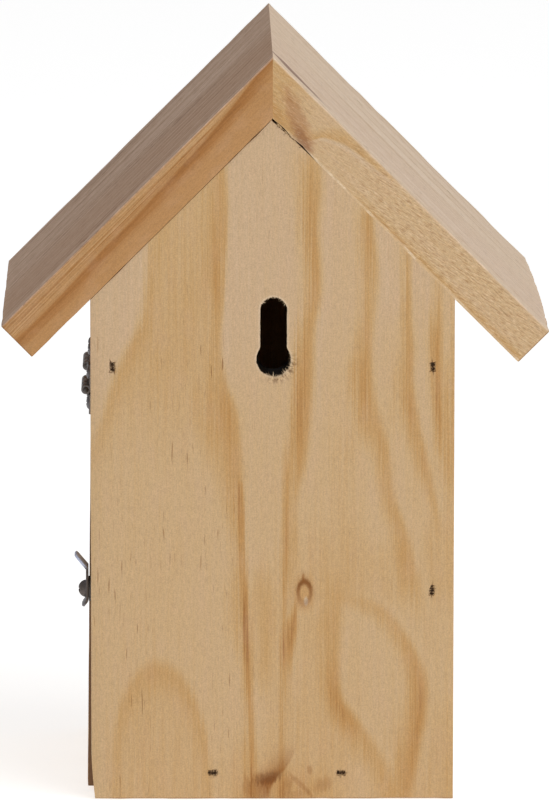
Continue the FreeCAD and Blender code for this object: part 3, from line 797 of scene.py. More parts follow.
def small_knots(board, colour, knot_list, size):
    """Sound brown knots with a dark rim."""
    rag = (stretched(board, 1.0, 1.8, rough=0.6, shift=31.0) - 0.5) * 0.7
    for across, along, push in knot_list:
        spot = ellipse(board.across, board.along, (across, along), (size, size * 1.3)) + rag
        colour = blended(eased(spot, 1.7, 0.9) * 0.35, colour, KNOT_HALO)
        colour = blended(eased(spot, 1.1, 0.7) * 0.75, colour, KNOT_HEART)
        colour = blended(eased(abs(spot - 0.95), 0.3, 0.05) * 0.55, colour, KNOT_RIM)
    return colour


def darkened_door_edge(board, colour):
    """The door's back edge made darker: dirt, and painted shade where it lies behind the back panel."""
    # dirt and painted shade
    return blended(eased(board.across, DOOR_EDGE, DOOR_EDGE + 0.6) * 0.85, colour, EDGE_DIRT_AND_SHADE)


front_board = start_board(
    "pine_of_front_panel", origin=(0, PANEL_FRONT, 0),
    across=(1, 0, 0), depth=(0, 1, 0), along=(0, 0, 1), seed=2, ends=(0.0,),
)
front_rings = flat_sawn(
    front_board, heart_across=6.0, heart_depth=46.0, spacing=13.0, taper=0.10, knot_list=FRONT_KNOTS
)
front_pine = finish_board(
    front_board, front_rings,
    wash=lambda colour: small_knots(front_board, colour, FRONT_KNOTS, 3.4),
)
wall_board = start_board(
    "pine_of_fixed_side", origin=(-WALL_FACE, 0, 0),
    across=(0, -1, 0), depth=(1, 0, 0), along=(0, 0, 1), seed=3, ends=(0.0,),
)
wall_rings = flat_sawn(
    wall_board, heart_across=-12.0, heart_depth=38.0, spacing=11.0, taper=0.12, knot_list=WALL_KNOTS
)
wall_pine = finish_board(
    wall_board, wall_rings,
    wash=lambda colour: small_knots(wall_board, colour, WALL_KNOTS, 2.8),
)
door_board = start_board(
    "pine_of_door_side", origin=(WALL_FACE, 0, 0),
    across=(0, 1, 0), depth=(-1, 0, 0), along=(0, 0, 1), seed=4, ends=(1.0,),
)
door_rings = flat_sawn(
    door_board, heart_across=8.0, heart_depth=44.0, spacing=12.0, taper=0.09, knot_list=DOOR_KNOTS
)
door_pine = finish_board(
    door_board, door_rings,
    wash=lambda colour: darkened_door_edge(door_board, small_knots(door_board, colour, DOOR_KNOTS, 3.0)),
)
print("finishes so far:", len(bpy.data.materials))

# %% [markdown]
# The roof boards' edges
#
# The roof boards lie with their grain down the slope, and the photograph looks at their sawn edges. The
# left one is redder, and shows a dark orange ring along the middle. The right one has a pale arch with
# a golden band outside it. The rule of the other boards would give some rings, but these are seen close
# up, so each one is drawn, by its depth below the roof's face at some distances from the ridge.

# %% Figure of the roof boards
RIDGE = (0.0, 67.5, 240.0)
SLOPE = math.sqrt(0.5)
LEFT_LENGTH = 122.3
RIGHT_LENGTH = 124.7
BEYOND_RIDGE = -20.0
RING_SPAN = 40.0
LEFT_RING = [(0, -1.5), (9, 0.6), (34, 3.6), (57, 4.9), (82, 5.5), (104, 6.6), (123, 6.2)]
RIGHT_RING = [(0, 13.0), (25, 12.4), (30, 6.7), (37, 3.7), (49, 2.2), (62, -0.5), (123, -3.0)]


def drawn_ring(board, rows):
    """Where a ring crosses the board's edge: its depth at each distance from the ridge."""
    share = board.along / RIGHT_LENGTH
    points = [(distance / RIGHT_LENGTH, depth / RING_SPAN + 0.5) for distance, depth in rows]
    return (drawn(share, points) - 0.5) * RING_SPAN


def left_roof_tone(board):
    """A dark ring with a sharp outer side and a soft inner one, and pale lines outside it."""
    waver = (stretched(board, 6.0, 40.0, detail=1.0, shift=2.0) - 0.5) * 0.9
    inside = board.depth - (drawn_ring(board, LEFT_RING) + waver) - board.across * 0.03
    stripe = eased(inside, -0.5, 0.5) * eased(inside, 5.5, 0.3)
    lines = eased(stretched(board, 0.8, 110.0, rough=0.6, shift=3.0), 0.40, 0.64)
    outer = (lines - 0.3) * eased(inside, 0.2, -1.5)
    return 0.5 + stripe * 0.34 - outer * 0.8 - eased(inside, 5.0, 10.0) * 0.06


def right_roof_tone(board):
    """A pale arch with a golden band outside it, and a golden lower edge."""
    waver = stretched(board, 5.0, 14.0, detail=1.0, shift=2.0) - 0.5
    inside = board.depth - (drawn_ring(board, RIGHT_RING) + waver)
    golden = eased(inside, 0.6, -0.6) * eased(inside, -7.0, -0.5) * eased(board.along, 74.0, 40.0)
    arch = eased(board.along, 59.0, 43.0) * eased(board.along, 27.0, 31.0)
    pale = eased(abs(inside - 0.6), 1.3, 0.2) * arch
    foot = eased(board.depth, 10.5, 13.2) * eased(board.along, 36.0, 66.0)
    ridge = eased(board.along, 26.0, 8.0)
    return 0.32 + golden * 0.3 + foot * 0.34 + ridge * 0.24 - pale * 0.2


left_board = start_board(
    "pine_of_left_roof", origin=RIDGE,
    across=(0, -1, 0), depth=(-SLOPE, 0, -SLOPE), along=(SLOPE, 0, -SLOPE),
    seed=6, ends=(BEYOND_RIDGE, LEFT_LENGTH),
)
right_board = start_board(
    "pine_of_right_roof", origin=RIDGE,
    across=(0, -1, 0), depth=(SLOPE, 0, -SLOPE), along=(-SLOPE, 0, -SLOPE),
    seed=7, ends=(BEYOND_RIDGE, RIGHT_LENGTH),
)
print("roof boards:", LEFT_LENGTH, "and", RIGHT_LENGTH, "mm down the slope")

# %% [markdown]
# Weather on the roof
#
# Both roof boards have begun to grey on top, in long streaks with small specks of dirt. The left one is
# browner on the half near the camera, and its grey is darker: painted shade on the top that faces away
# from the main light. Streaks and specks differ in length, so each has its own noise.
# The weather reaches only just below the face, so the sawn edges keep their fresh colour.

# %% Weathered tops
RED_PINE = [
    (0.00, tint(191, 151, 104)), (0.30, tint(179, 135, 88)), (0.55, tint(176, 130, 81)),
    (0.80, tint(161, 109, 58)), (1.00, tint(126, 80, 38)),
]
# The left grey is darker than the right: painted shade on the top that faces away from the main light.
SHADED_LEFT_GREY = [
    (0.00, tint(214, 186, 163)), (0.35, tint(200, 168, 144)), (0.65, tint(184, 149, 122)),
    (1.00, tint(130, 96, 74)),
]
RIGHT_GREY = [
    (0.00, tint(230, 209, 187)), (0.40, tint(222, 198, 173)), (0.70, tint(214, 187, 157)),
    (1.00, tint(188, 152, 116)),
]
LEFT_NEAR = tint(168, 122, 83)
LEFT_NEAR_SHARE = 0.34
RIGHT_NEAR = tint(190, 146, 136)
RIGHT_NEAR_SHARE = 0.08
DIRT = tint(120, 92, 74)


def top_face(board):
    """1 on the board's outer face, 0 below it."""
    return eased(board.depth, 0.8, 0.05)


def weathered(board, colour, tones, near, near_share):
    """A greyed outer face with long streaks down the slope, specks of dirt and a tinted near half."""
    streaks = stretched(board, 3.6, 120.0, detail=3.0, rough=0.6, shift=41.0)
    spots = stretched(board, 2.0, 4.0, detail=3.0, rough=0.7, shift=43.0)
    shade = streaks * 2.0 + spots * 1.2 - 1.15
    specks = eased(stretched(board, 1.4, 3.0, rough=0.6, shift=45.0), 0.58, 0.76) * 0.5
    grey = shade.node("ShaderNodeValToRGB", {"stops": tones}, {"Fac": shade})
    grey = blended(specks, grey, DIRT)
    near_half = eased(board.across, 82.0, 46.0) * eased(board.across, 2.0, 14.0)
    grey = blended(near_half * near_share, grey, near)
    return blended(top_face(board), colour, grey)


left_pine = finish_board(
    left_board, left_roof_tone(left_board), RED_PINE, flecks=0.3,
    wash=lambda colour: weathered(left_board, colour, SHADED_LEFT_GREY, LEFT_NEAR, LEFT_NEAR_SHARE),
)
print("left roof finish:", len(left_pine.node_tree.nodes), "nodes")

# %% [markdown]
# Torn wood on the right roof board
#
# The right board is rough from the saw. Its edge is covered with short torn fibres, pale and dark, it
# has a brown eye near the ridge and a fuzzy lower arris, whose fibres get a painted highlight, and a
# resin streak runs down its top from the ridge. As real strands these fibres would number thousands, so
# most are colour and bump, and only the longest become mesh later.

# %% Torn and streaked
RIGHT_EYE = ((20.6, 9.0), (6.0, 5.6), 1.7, 0.5, tint(160, 106, 68))
RIGHT_EYE_CORE = ((25.4, 12.2), (4.4, 2.6), 1.4, 0.5, tint(128, 80, 52))
DARK_FIBRE = tint(160, 116, 70)
PALE_FIBRE = tint(222, 196, 160)
# Pale fuzz with a painted highlight.
LIT_FUZZ = tint(228, 206, 174)
RESIN = tint(124, 86, 72)
RESIN_START = 13.0
RESIN_SLANT = 0.14


def torn(board, colour):
    """Short pale and dark fibres torn by the saw, a brown eye near the ridge and a pale fuzzy lower arris
    with a painted highlight.
    """
    rag = (stretched(board, 2.0, 3.0, rough=0.6, shift=47.0) - 0.5) * 1.1
    for eye, ragged in ((RIGHT_EYE, rag * 1.2), (RIGHT_EYE_CORE, rag)):
        colour = stain(colour, board.along, board.depth, *eye, ragged)
    slant = bundle(board.across, (board.depth + board.along * 0.2) / 0.4, board.along / 2.4)
    fleck = clouds(slant, 2.0, 0.6)
    edge = 1 - top_face(board)
    rough = edge * (0.45 + 0.55 * eased(board.along, 30.0, 60.0))
    colour = blended(eased(fleck, 0.5, 0.7) * rough * 0.65, colour, DARK_FIBRE)
    colour = blended(eased(fleck, 0.48, 0.3) * rough * 0.6, colour, PALE_FIBRE)
    arris = eased(board.depth, 12.9, 13.5) * eased(board.across, 1.2, 0.2) * eased(board.along, 20.0, 34.0)
    patchy = 0.45 + 0.55 * eased(stretched(board, 4.0, 7.0, rough=0.6, shift=49.0), 0.44, 0.58)
    # pale fuzz on the lower arris, with a painted highlight
    return blended(arris * patchy * eased(fleck, 0.34, 0.56) * 0.85, colour, LIT_FUZZ)


def resin_streak(board, colour):
    """A dark streak on top of the right board, which runs from the ridge beside the near arris."""
    ragged = (stretched(board, 5.0, 6.0, rough=0.6, shift=51.0) - 0.5) * 1.6
    middle = RESIN_START - board.along * RESIN_SLANT + ragged
    half = 1.6 + 2.8 * eased(board.along, 0.0, 6.0) * eased(board.along, 26.0, 8.0)
    fibrous = (stretched(board, 0.8, 14.0, rough=0.6, shift=53.0) - 0.5) * 1.6
    line = eased(abs(board.across - middle) / half + fibrous, 1.1, 0.4) * eased(board.along, 28.0, 18.0)
    return blended(line * top_face(board) * 0.8, colour, RESIN)


def mark_right_roof(colour):
    """All marks of the right roof board, one over the other."""
    colour = torn(right_board, colour)
    colour = weathered(right_board, colour, RIGHT_GREY, RIGHT_NEAR, RIGHT_NEAR_SHARE)
    return resin_streak(right_board, colour)


right_pine = finish_board(
    right_board, right_roof_tone(right_board), grain=0.4, flecks=0.3, roughen=0.12, wash=mark_right_roof
)
print("right roof finish:", len(right_pine.node_tree.nodes), "nodes")

# %% [markdown]
# Cutting the boards
#
# Each board starts as a copy of its CAD solid, with the loose triangles joined and the flat faces made
# whole. Then its long arrises are eased, as sandpaper does, it is sliced into short lengths, and the
# arrises are nicked a little. A Bevel modifier could round every edge, but it would round the brad
# slits too, so only the long edges are picked. The keyhole and the joints that show no gap, under the
# right roof board and at the ridge, stay sharp.

# %% Board shapes
WELD = 1e-6
FLAT = math.radians(0.5)
SHARP = math.radians(20.0)
ARRIS = 0.4 * MM
LONG_EDGE = 10.0 * MM
SLICE = 4.0 * MM
NICK_SCALE = 140.0
KEYHOLE_HALF = 7 * MM
KEYHOLE_SPAN = (130 * MM, 170 * MM)
KEYHOLE_FRONT = 50 * MM
JOINT_TOP = 220.2
JOINT_FACE = 67 * MM
JOINT_REACH = 1.5 * MM
MITRE_REACH = 1 * MM


def joined_copy(node):
    """The node's mesh as one shape, with whole flat faces."""
    shape = bmesh.new()
    shape.from_mesh(nodes[node].data)
    bmesh.ops.remove_doubles(shape, verts=shape.verts, dist=WELD)
    bmesh.ops.dissolve_limit(shape, angle_limit=FLAT, verts=shape.verts, edges=shape.edges)
    return shape


def in_keyhole(place):
    """Whether a place lies in or close beside the keyhole."""
    low, high = KEYHOLE_SPAN
    return abs(place.x) < KEYHOLE_HALF and low < place.z < high and place.y > KEYHOLE_FRONT


def on_right_joint(place):
    """Whether a place lies on the back, where the right roof board meets the panel."""
    from_joint = abs(place.z - place.x - JOINT_TOP * MM)
    return place.x < 0.0 and place.y > JOINT_FACE and from_joint < JOINT_REACH


def on_mitre(place):
    """Whether a place lies where the two roof boards meet."""
    return abs(place.x) < MITRE_REACH and place.z > JOINT_TOP * MM - MITRE_REACH


def is_tight(place):
    """Whether a place lies in a joint that shows no gap: under the right roof board, or at the ridge."""
    return on_right_joint(place) or on_mitre(place)


def ease_arrises(shape, width=ARRIS):
    """Round the long outer edges, but not the keyhole's, nor those of the tight joints."""
    arrises = [
        edge for edge in shape.edges
        if edge.is_manifold and edge.calc_face_angle_signed() > SHARP and edge.calc_length() > LONG_EDGE
        and not in_keyhole(edge.verts[0].co) and not all(is_tight(vert.co) for vert in edge.verts)
    ]
    bmesh.ops.bevel(
        shape, geom=arrises, offset=width, offset_type="OFFSET", segments=2, profile=0.6,
        affect="EDGES", clamp_overlap=False,
    )


def slice_up(shape, axis):
    """Cut the shape across an axis into short lengths."""
    places = [vert.co.dot(axis) for vert in shape.verts]
    low, high = min(places), max(places)
    for cut in range(1, int((high - low) / SLICE) + 1):
        everything = shape.verts[:] + shape.edges[:] + shape.faces[:]
        bmesh.ops.bisect_plane(
            shape, geom=everything, dist=WELD,
            plane_co=axis * (low + cut * SLICE - SLICE / 3), plane_no=axis,
        )


def nick_arrises(shape, depth):
    """Press the eased arrises in a little, here and there."""
    shape.normal_update()
    for vert in shape.verts:
        turned = max((edge.calc_face_angle(0.0) for edge in vert.link_edges), default=0.0)
        if turned > SHARP / 2 and not in_keyhole(vert.co) and not is_tight(vert.co):
            bite = max(0.0, noise.noise(vert.co * NICK_SCALE) + 0.1)
            vert.co -= vert.normal * depth * bite


print("boards are sliced every", SLICE / MM, "mm")

# %% [markdown]
# Ragged holes
#
# A hole drilled in soft pine has a ragged rim, and a driven brad splits the wood along the grain. Both
# are torn in the mesh: a cut just below the face keeps the tear shallow, the rim's edges are halved
# until they are short, and their ends move a little way into the wood. The keyhole is torn most at its
# lower right, where the photograph shows broken fibres.

# %% Torn rims
RIM_STEP = 0.45 * MM
RIM_TEAR = 0.3 * MM
RIM_LEDGE = 0.9 * MM
TEAR_SCALE = 1900.0
PLANE_REACH = 0.05 * MM
OUTLINE_X = 56.0 * MM
OUTLINE_FOOT = 4.0 * MM
OUTLINE_SLOPE = 216.0 * MM
SLIT_TEAR = 1.6
KEYHOLE_TEAR = 0.8
LOW_RIGHT_TEAR = 5.0
LEFT_SHARE = 0.35


def rim_edges(shape, plane):
    """The edges where holes and slits break through a panel's outer face."""
    def on_rim(place):
        below_roof = abs(place.x) + place.z < OUTLINE_SLOPE
        inside = abs(place.x) < OUTLINE_X and place.z > OUTLINE_FOOT and below_roof
        return inside and abs(place.y - plane) < PLANE_REACH
    return [
        edge for edge in shape.edges
        if edge.calc_face_angle(0.0) > SHARP and all(on_rim(vert.co) for vert in edge.verts)
    ]


def halve(edge):
    """Halve an edge until its pieces are short."""
    if edge.calc_length() > RIM_STEP:
        other, middle = bmesh.utils.edge_split(edge, edge.verts[0], 0.5)
        halve(edge)
        halve(other)


def tear_rims(shape, plane):
    """Move the rims of a panel's holes and slits into the wood, most at the keyhole's lower right."""
    ledge = Vector((0.0, plane - math.copysign(RIM_LEDGE, plane), 0.0))
    everything = shape.verts[:] + shape.edges[:] + shape.faces[:]
    bmesh.ops.bisect_plane(shape, geom=everything, dist=WELD, plane_co=ledge, plane_no=(0, 1, 0))
    for edge in rim_edges(shape, plane):
        halve(edge)
    shape.normal_update()
    torn_verts = {vert for edge in rim_edges(shape, plane) for vert in edge.verts}
    for vert in torn_verts:
        walls = [face.normal for face in vert.link_faces if abs(face.normal.y) < 0.5]
        into_wood = -sum(walls, Vector()).normalized()
        amount = SLIT_TEAR * (1.0 + abs(into_wood.z))
        if in_keyhole(vert.co):
            low = max(0.0, KEYHOLE_HEIGHT * MM - vert.co.z) / (KEYHOLE_RADIUS * MM)
            right = max(0.0, -vert.co.x) / (KEYHOLE_RADIUS * MM)
            amount = KEYHOLE_TEAR + LOW_RIGHT_TEAR * low * max(right, LEFT_SHARE)
        vert.co += into_wood * RIM_TEAR * amount * abs(noise.noise(vert.co * TEAR_SCALE)) * 2.0
    return len(torn_verts)


X_AXIS = Vector((1, 0, 0))
Y_AXIS = Vector((0, 1, 0))
Z_AXIS = Vector((0, 0, 1))
LEFT_SLOPE = Vector((SLOPE, 0, -SLOPE))
RIGHT_SLOPE = Vector((-SLOPE, 0, -SLOPE))


def cut_board(node, *axes, nick=0.25 * MM, torn_face=None):
    """A board shape with eased and nicked arrises, and torn rims on one face."""
    shape = joined_copy(node)
    if torn_face is not None:
        print(node, "has", tear_rims(shape, torn_face * MM), "torn points")
    ease_arrises(shape)
    for axis in axes:
        slice_up(shape, axis)
    nick_arrises(shape, nick)
    return shape


print("rims are torn by", round(RIM_TEAR / MM, 2), "mm and more")

# %% [markdown]
# Trees that grow small things
#
# Screws, brads and splinters repeat, so Geometry Nodes make them: one tree for each kind, with its
# sizes as named inputs. A tree runs on a small mesh of points or lines that says where, and its result
# is kept as a plain mesh, because the model that leaves this scene can't hold instances.

# %% Starting, ending and running a tree
def start_tree(name, *sizes):
    """An empty Geometry Nodes tree: its source, its named sizes and its finish, as wires."""
    tree = bpy.data.node_groups.new(name, "GeometryNodeTree")
    tree.interface.new_socket("Source", in_out="INPUT", socket_type="NodeSocketGeometry")
    for size in sizes:
        tree.interface.new_socket(size, in_out="INPUT", socket_type="NodeSocketFloat")
    tree.interface.new_socket("Finish", in_out="INPUT", socket_type="NodeSocketMaterial")
    tree.interface.new_socket("Result", in_out="OUTPUT", socket_type="NodeSocketGeometry")
    entry = tree.nodes.new("NodeGroupInput")
    return {socket.name: Wire(socket) for socket in entry.outputs if socket.name}


def end_tree(geometry, finish):
    """Close a tree: one real mesh in one finish."""
    real = geometry.node("GeometryNodeRealizeInstances", (), {"Geometry": geometry})
    dressed = real.node("GeometryNodeSetMaterial", (), {"Geometry": real, "Material": finish})
    tree = geometry.socket.id_data
    tree.links.new(dressed.socket, tree.nodes.new("NodeGroupOutput").inputs["Result"])
    return tree


def seed_mesh(name, places, edges=(), **vectors):
    """A mesh of points, or of points joined by lines, with a vector of each name at every point."""
    mesh = bpy.data.meshes.new(name)
    mesh.from_pydata([tuple(place) for place in places], list(edges), [])
    for word, values in vectors.items():
        layer = mesh.attributes.new(word, "FLOAT_VECTOR", "POINT")
        for item, value in zip(layer.data, values):
            item.vector = value
    return mesh


def grown(tree, seeds, finish, **sizes):
    """Run a tree on a seed mesh with these sizes in metres, and give the result as one shape."""
    carrier = bpy.data.objects.new(seeds.name, seeds)
    bpy.context.scene.collection.objects.link(carrier)
    modifier = carrier.modifiers.new(tree.name, "NODES")
    modifier.node_group = tree
    values = {**sizes, "Finish": finish}
    for socket in tree.interface.items_tree:
        if socket.in_out == "INPUT" and socket.name in values:
            modifier[socket.identifier] = values[socket.name]
    evaluated = carrier.evaluated_get(bpy.context.evaluated_depsgraph_get())
    made = bpy.data.meshes.new_from_object(evaluated)
    carrier.modifiers.clear()
    bpy.data.objects.remove(carrier)
    shape = bmesh.new()
    shape.from_mesh(made)
    bmesh.ops.remove_doubles(shape, verts=shape.verts, dist=WELD)
    bmesh.ops.recalc_face_normals(shape, faces=shape.faces)
    return shape


print("trees take points or lines, and give plain meshes")

# %% [markdown]
# From shape to piece
#
# A shape becomes a piece of the scene when it has a finish, rides on one of the moving bodies and
# takes the place of its CAD nodes, which are hidden. Faces are shaded smoothly, but edges sharper than
# a certain angle stay crisp.

# %% Adding a piece
CRISP = math.radians(32)


def soften(mesh):
    """Smooth shading that stays crisp at sharp edges."""
    shape = bmesh.new()
    shape.from_mesh(mesh)
    for face in shape.faces:
        face.smooth = True
    for edge in shape.edges:
        edge.smooth = edge.calc_face_angle(0.0) < CRISP
    shape.to_mesh(mesh)
    shape.free()


def add_piece(name, shape, finish, body, slot, *replaced):
    """Turn a shape into a piece that rides on a body and takes the place of its CAD nodes, which are hidden.
    """
    mesh = bpy.data.meshes.new(name)
    shape.to_mesh(mesh)
    shape.free()
    mesh.materials.clear()
    mesh.materials.append(finish)
    soften(mesh)
    piece = bpy.data.objects.new(name, mesh)
    bpy.context.scene.collection.objects.link(piece)
    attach(piece, body)
    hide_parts(*replaced)
    print(f"{name}: {len(mesh.polygons)} faces")


print("edges over", round(math.degrees(CRISP)), "degrees stay crisp")

# %% [markdown]
# Torn fibres
#
# Where a saw or a drill leaves pine, single fibres stay behind: pale hairs, a millimetre or so long.
# The tree walks along a line, sets a thin, bent, pointed fibre every short step, and turns each one a
# little at random. The Ceiling input keeps them from standing out past the back of the box, which lies
# flat on its wall.

# %% The tree of fibres
FIBRE_POINTS = 6
FIBRE_BEND = 0.22
FIBRE_SIDES = 5
SHORTEST_FIBRE = 0.35


def fibre_tree():
    """Thin bent fibres along every line of the source, which lean the way that the lines' points say."""
    given = start_tree("torn_fibres", "Spacing", "Length", "Thickness", "Spread", "Seed", "Ceiling")
    seed = given["Seed"]
    line = seed.node("GeometryNodeCurvePrimitiveLine", (), {"End": (0.0, 0.0, 1.0)})
    line = line.node("GeometryNodeResampleCurve", {"mode": "COUNT"}, {"Curve": line, "Count": FIBRE_POINTS})
    share = line.node("GeometryNodeSplineParameter", out="Index") / (FIBRE_POINTS - 1)
    bend = share.node("ShaderNodeCombineXYZ", (), {"X": share * share * FIBRE_BEND})
    line = line.node("GeometryNodeSetPosition", (), {"Geometry": line, "Offset": bend})
    ring = line.node("GeometryNodeCurvePrimitiveCircle", (), {"Resolution": FIBRE_SIDES, "Radius": 0.5})
    slender = given["Thickness"] / given["Length"] * (1.05 - share)
    fibre = line.node(
        "GeometryNodeCurveToMesh", (),
        {"Curve": line, "Profile Curve": ring, "Scale": slender, "Fill Caps": True},
    )
    path = seed.node("GeometryNodeMeshToCurve", (), {"Mesh": given["Source"]})
    path = path.node(
        "GeometryNodeResampleCurve", {"mode": "LENGTH"}, {"Curve": path, "Length": given["Spacing"]}
    )
    out = path.node("GeometryNodeInputNamedAttribute", {"data_type": "FLOAT_VECTOR"}, {"Name": "out"})
    stray = path.node(
        "FunctionNodeRandomValue", {"data_type": "FLOAT_VECTOR"},
        {0: (-1.0, -1.0, -1.0), 1: (1.0, 1.0, 1.0), "Seed": seed},
    )
    aim = out.node(
        "ShaderNodeVectorMath", {"operation": "ADD"}, {0: out, 1: scaled(stray, given["Spread"])}
    )
    turn = aim.node("FunctionNodeAlignRotationToVector", {"axis": "Z"}, {"Vector": aim})
    size = path.node(
        "FunctionNodeRandomValue", {"data_type": "FLOAT"},
        {2: SHORTEST_FIBRE, 3: 1.0, "Seed": seed + 1.0}, out=1,
    )
    set_out = path.node(
        "GeometryNodeInstanceOnPoints", (),
        {"Points": path, "Instance": fibre, "Rotation": turn, "Scale": size * given["Length"]},
    )
    real = set_out.node("GeometryNodeRealizeInstances", (), {"Geometry": set_out})
    place = real.node("GeometryNodeInputPosition")
    limit = real.node("ShaderNodeCombineXYZ", (), {"X": 1.0, "Y": given["Ceiling"], "Z": 1.0})
    under = place.node("ShaderNodeVectorMath", {"operation": "MINIMUM"}, {0: place, 1: limit})
    held = real.node("GeometryNodeSetPosition", (), {"Geometry": real, "Position": under})
    return end_tree(held, given["Finish"])


FIBRES = fibre_tree()


def add_fibres(shape, finish, places, outs, spacing, length, thickness, spread, seed):
    """Grow fibres along a line, in millimetres, and join them to a board."""
    path = seed_mesh(
        "fibre_path", [Vector(place) * MM for place in places],
        [(index, index + 1) for index in range(len(places) - 1)], out=outs,
    )
    fibres = grown(
        FIBRES, path, finish, Spacing=spacing * MM, Length=length * MM, Thickness=thickness * MM,
        Spread=spread, Seed=float(seed), Ceiling=PANEL_BACK * MM,
    )
    spare = bpy.data.meshes.new("fibres")
    fibres.to_mesh(spare)
    fibres.free()
    shape.from_mesh(spare)
    print(len(spare.polygons), "fibre faces")


print("fibre tree:", len(FIBRES.nodes), "nodes")

# %% [markdown]
# Panels and walls
#
# The panels, the fixed wall, the strip over the door, the door and the floor are cut one after the
# other. The back panel gets broken fibres at the lower right of its keyhole, a few bristles at the top
# of the slot, and hairs that half close the slits over its brads. Its lower corner by the door is worn
# round.

# %% Panels and walls
FIBRE_DEPTH = 0.12
RIM_ANGLES = [math.radians(angle) for angle in range(-115, 16, 10)]
SLOT_ANGLES = [math.radians(angle) for angle in range(30, 151, 10)]
UPRIGHT_SLITS = [(51.0, 140.5), (-51.0, 140.5), (-51.0, 68.0)]
LEVEL_SLITS = [(19.1, 8.5), (-22.1, 8.5)]
SLIT_REACH = 1.3
SLIT_WALL = 0.75
SLIT_DEPTH = 0.2
PANEL_HALF = WALL_FACE * MM
WORN_HEIGHT = 16.0 * MM
WORN_WIDTH = 1.2 * MM
WORN_POWER = 1.5


def wear_corner(shape):
    """Wear the panel's lower corner by the door away in a long curve."""
    for vert in shape.verts:
        share = max(0.0, 1.0 - vert.co.z / WORN_HEIGHT)
        vert.co.x = min(vert.co.x, PANEL_HALF - WORN_WIDTH * share ** WORN_POWER)


def rim_path(angles, radius, height, lean):
    """Points on an arc of the keyhole, seen from behind, and the way that fibres lean there."""
    places = []
    outs = []
    for angle in angles:
        away = Vector((-math.cos(angle), 0.0, math.sin(angle)))
        places.append(Vector((KEYHOLE_X, PANEL_BACK - FIBRE_DEPTH, height)) + away * radius)
        outs.append(away * lean + Z_AXIS * 0.4)
    return places, outs


back_shape = cut_board("back_panel", X_AXIS, Z_AXIS, nick=0.45 * MM, torn_face=PANEL_BACK)
wear_corner(back_shape)
add_fibres(
    back_shape, back_pine, *rim_path(RIM_ANGLES, KEYHOLE_RADIUS + 0.5, KEYHOLE_HEIGHT, -0.7),
    spacing=0.3, length=2.0, thickness=0.3, spread=0.9, seed=3,
)
add_fibres(
    back_shape, back_pine, *rim_path(SLOT_ANGLES, SLOT_RADIUS + 0.1, SLOT_TOP, -1.0),
    spacing=0.5, length=1.3, thickness=0.3, spread=0.5, seed=5,
)
for spots, reach, wall in ((UPRIGHT_SLITS, Z_AXIS, X_AXIS), (LEVEL_SLITS, X_AXIS, Z_AXIS)):
    for number, (x, z) in enumerate(spots):
        for side in (-wall, wall):
            middle = Vector((x, PANEL_BACK - SLIT_DEPTH, z)) + side * SLIT_WALL
            add_fibres(
                back_shape, back_pine,
                [middle - reach * SLIT_REACH, middle + reach * SLIT_REACH], [-side] * 2,
                spacing=0.45, length=1.3, thickness=0.45, spread=0.8, seed=11 + number,
            )
add_piece("panel_with_keyhole", back_shape, back_pine, "box", "pine_back", "back_panel")
front_shape = cut_board("front_panel", X_AXIS, Z_AXIS, torn_face=PANEL_FRONT)
add_piece("panel_with_entrance", front_shape, front_pine, "box", "pine_front", "front_panel")
wall_shape = cut_board("fixed_side", Y_AXIS, Z_AXIS)
add_piece("fixed_wall", wall_shape, wall_pine, "box", "pine_side", "fixed_side")
header_shape = cut_board("door_header", Y_AXIS, Z_AXIS)
add_piece("header_strip", header_shape, door_pine, "box", "pine_side", "door_header")
door_shape = cut_board("side_door", Y_AXIS, Z_AXIS)
add_piece("door_leaf", door_shape, door_pine, "door", "pine_side", "side_door")
floor_shape = cut_board("floor_board", X_AXIS, Y_AXIS)
add_piece("floor_plank", floor_shape, base_pine, "box", "pine_side", "floor_board")

# %% [markdown]
# The roof boards' shapes
#
# The right roof board was cut from the outside of the log: its far lower corner is missing, in a smooth
# curve. The slices let the end of the board be pulled in towards the ridge, more and more towards that
# corner. Beside the apex its lower arris is chipped, so the joint with the panel gapes there, and torn
# fibres hang over it.

# %% Roof boards
WANE = 3.6 * MM
WANE_POWER = 3.2
WANE_REACH = 40.0 * MM
ROOF_DEPTH = 135.0 * MM
JOINT_START = 2.0
JOINT_END = 15.0
GAPE = 0.6 * MM
GAPE_LENGTH = 20.0 * MM


def wane_corner(shape):
    """Pull the far end of the eave in along the slope."""
    ridge = Vector(RIDGE) * MM
    for vert in shape.verts:
        along = (vert.co - ridge).dot(RIGHT_SLOPE)
        near_end = max(0.0, 1.0 - (RIGHT_LENGTH * MM - along) / WANE_REACH)
        share = (ridge.y - vert.co.y) / ROOF_DEPTH
        vert.co -= RIGHT_SLOPE * WANE * share ** WANE_POWER * near_end


def open_joint(shape):
    """Chip the lower arris beside the apex, so that the joint with the panel gapes there."""
    for vert in shape.verts:
        along = (JOINT_TOP * MM - vert.co.z) / SLOPE
        if on_right_joint(vert.co) and 0.0 < along < GAPE_LENGTH:
            fade = math.sin(math.pi * along / GAPE_LENGTH)
            vert.co -= LEFT_SLOPE * GAPE * fade * (0.7 + noise.noise(vert.co * TEAR_SCALE))


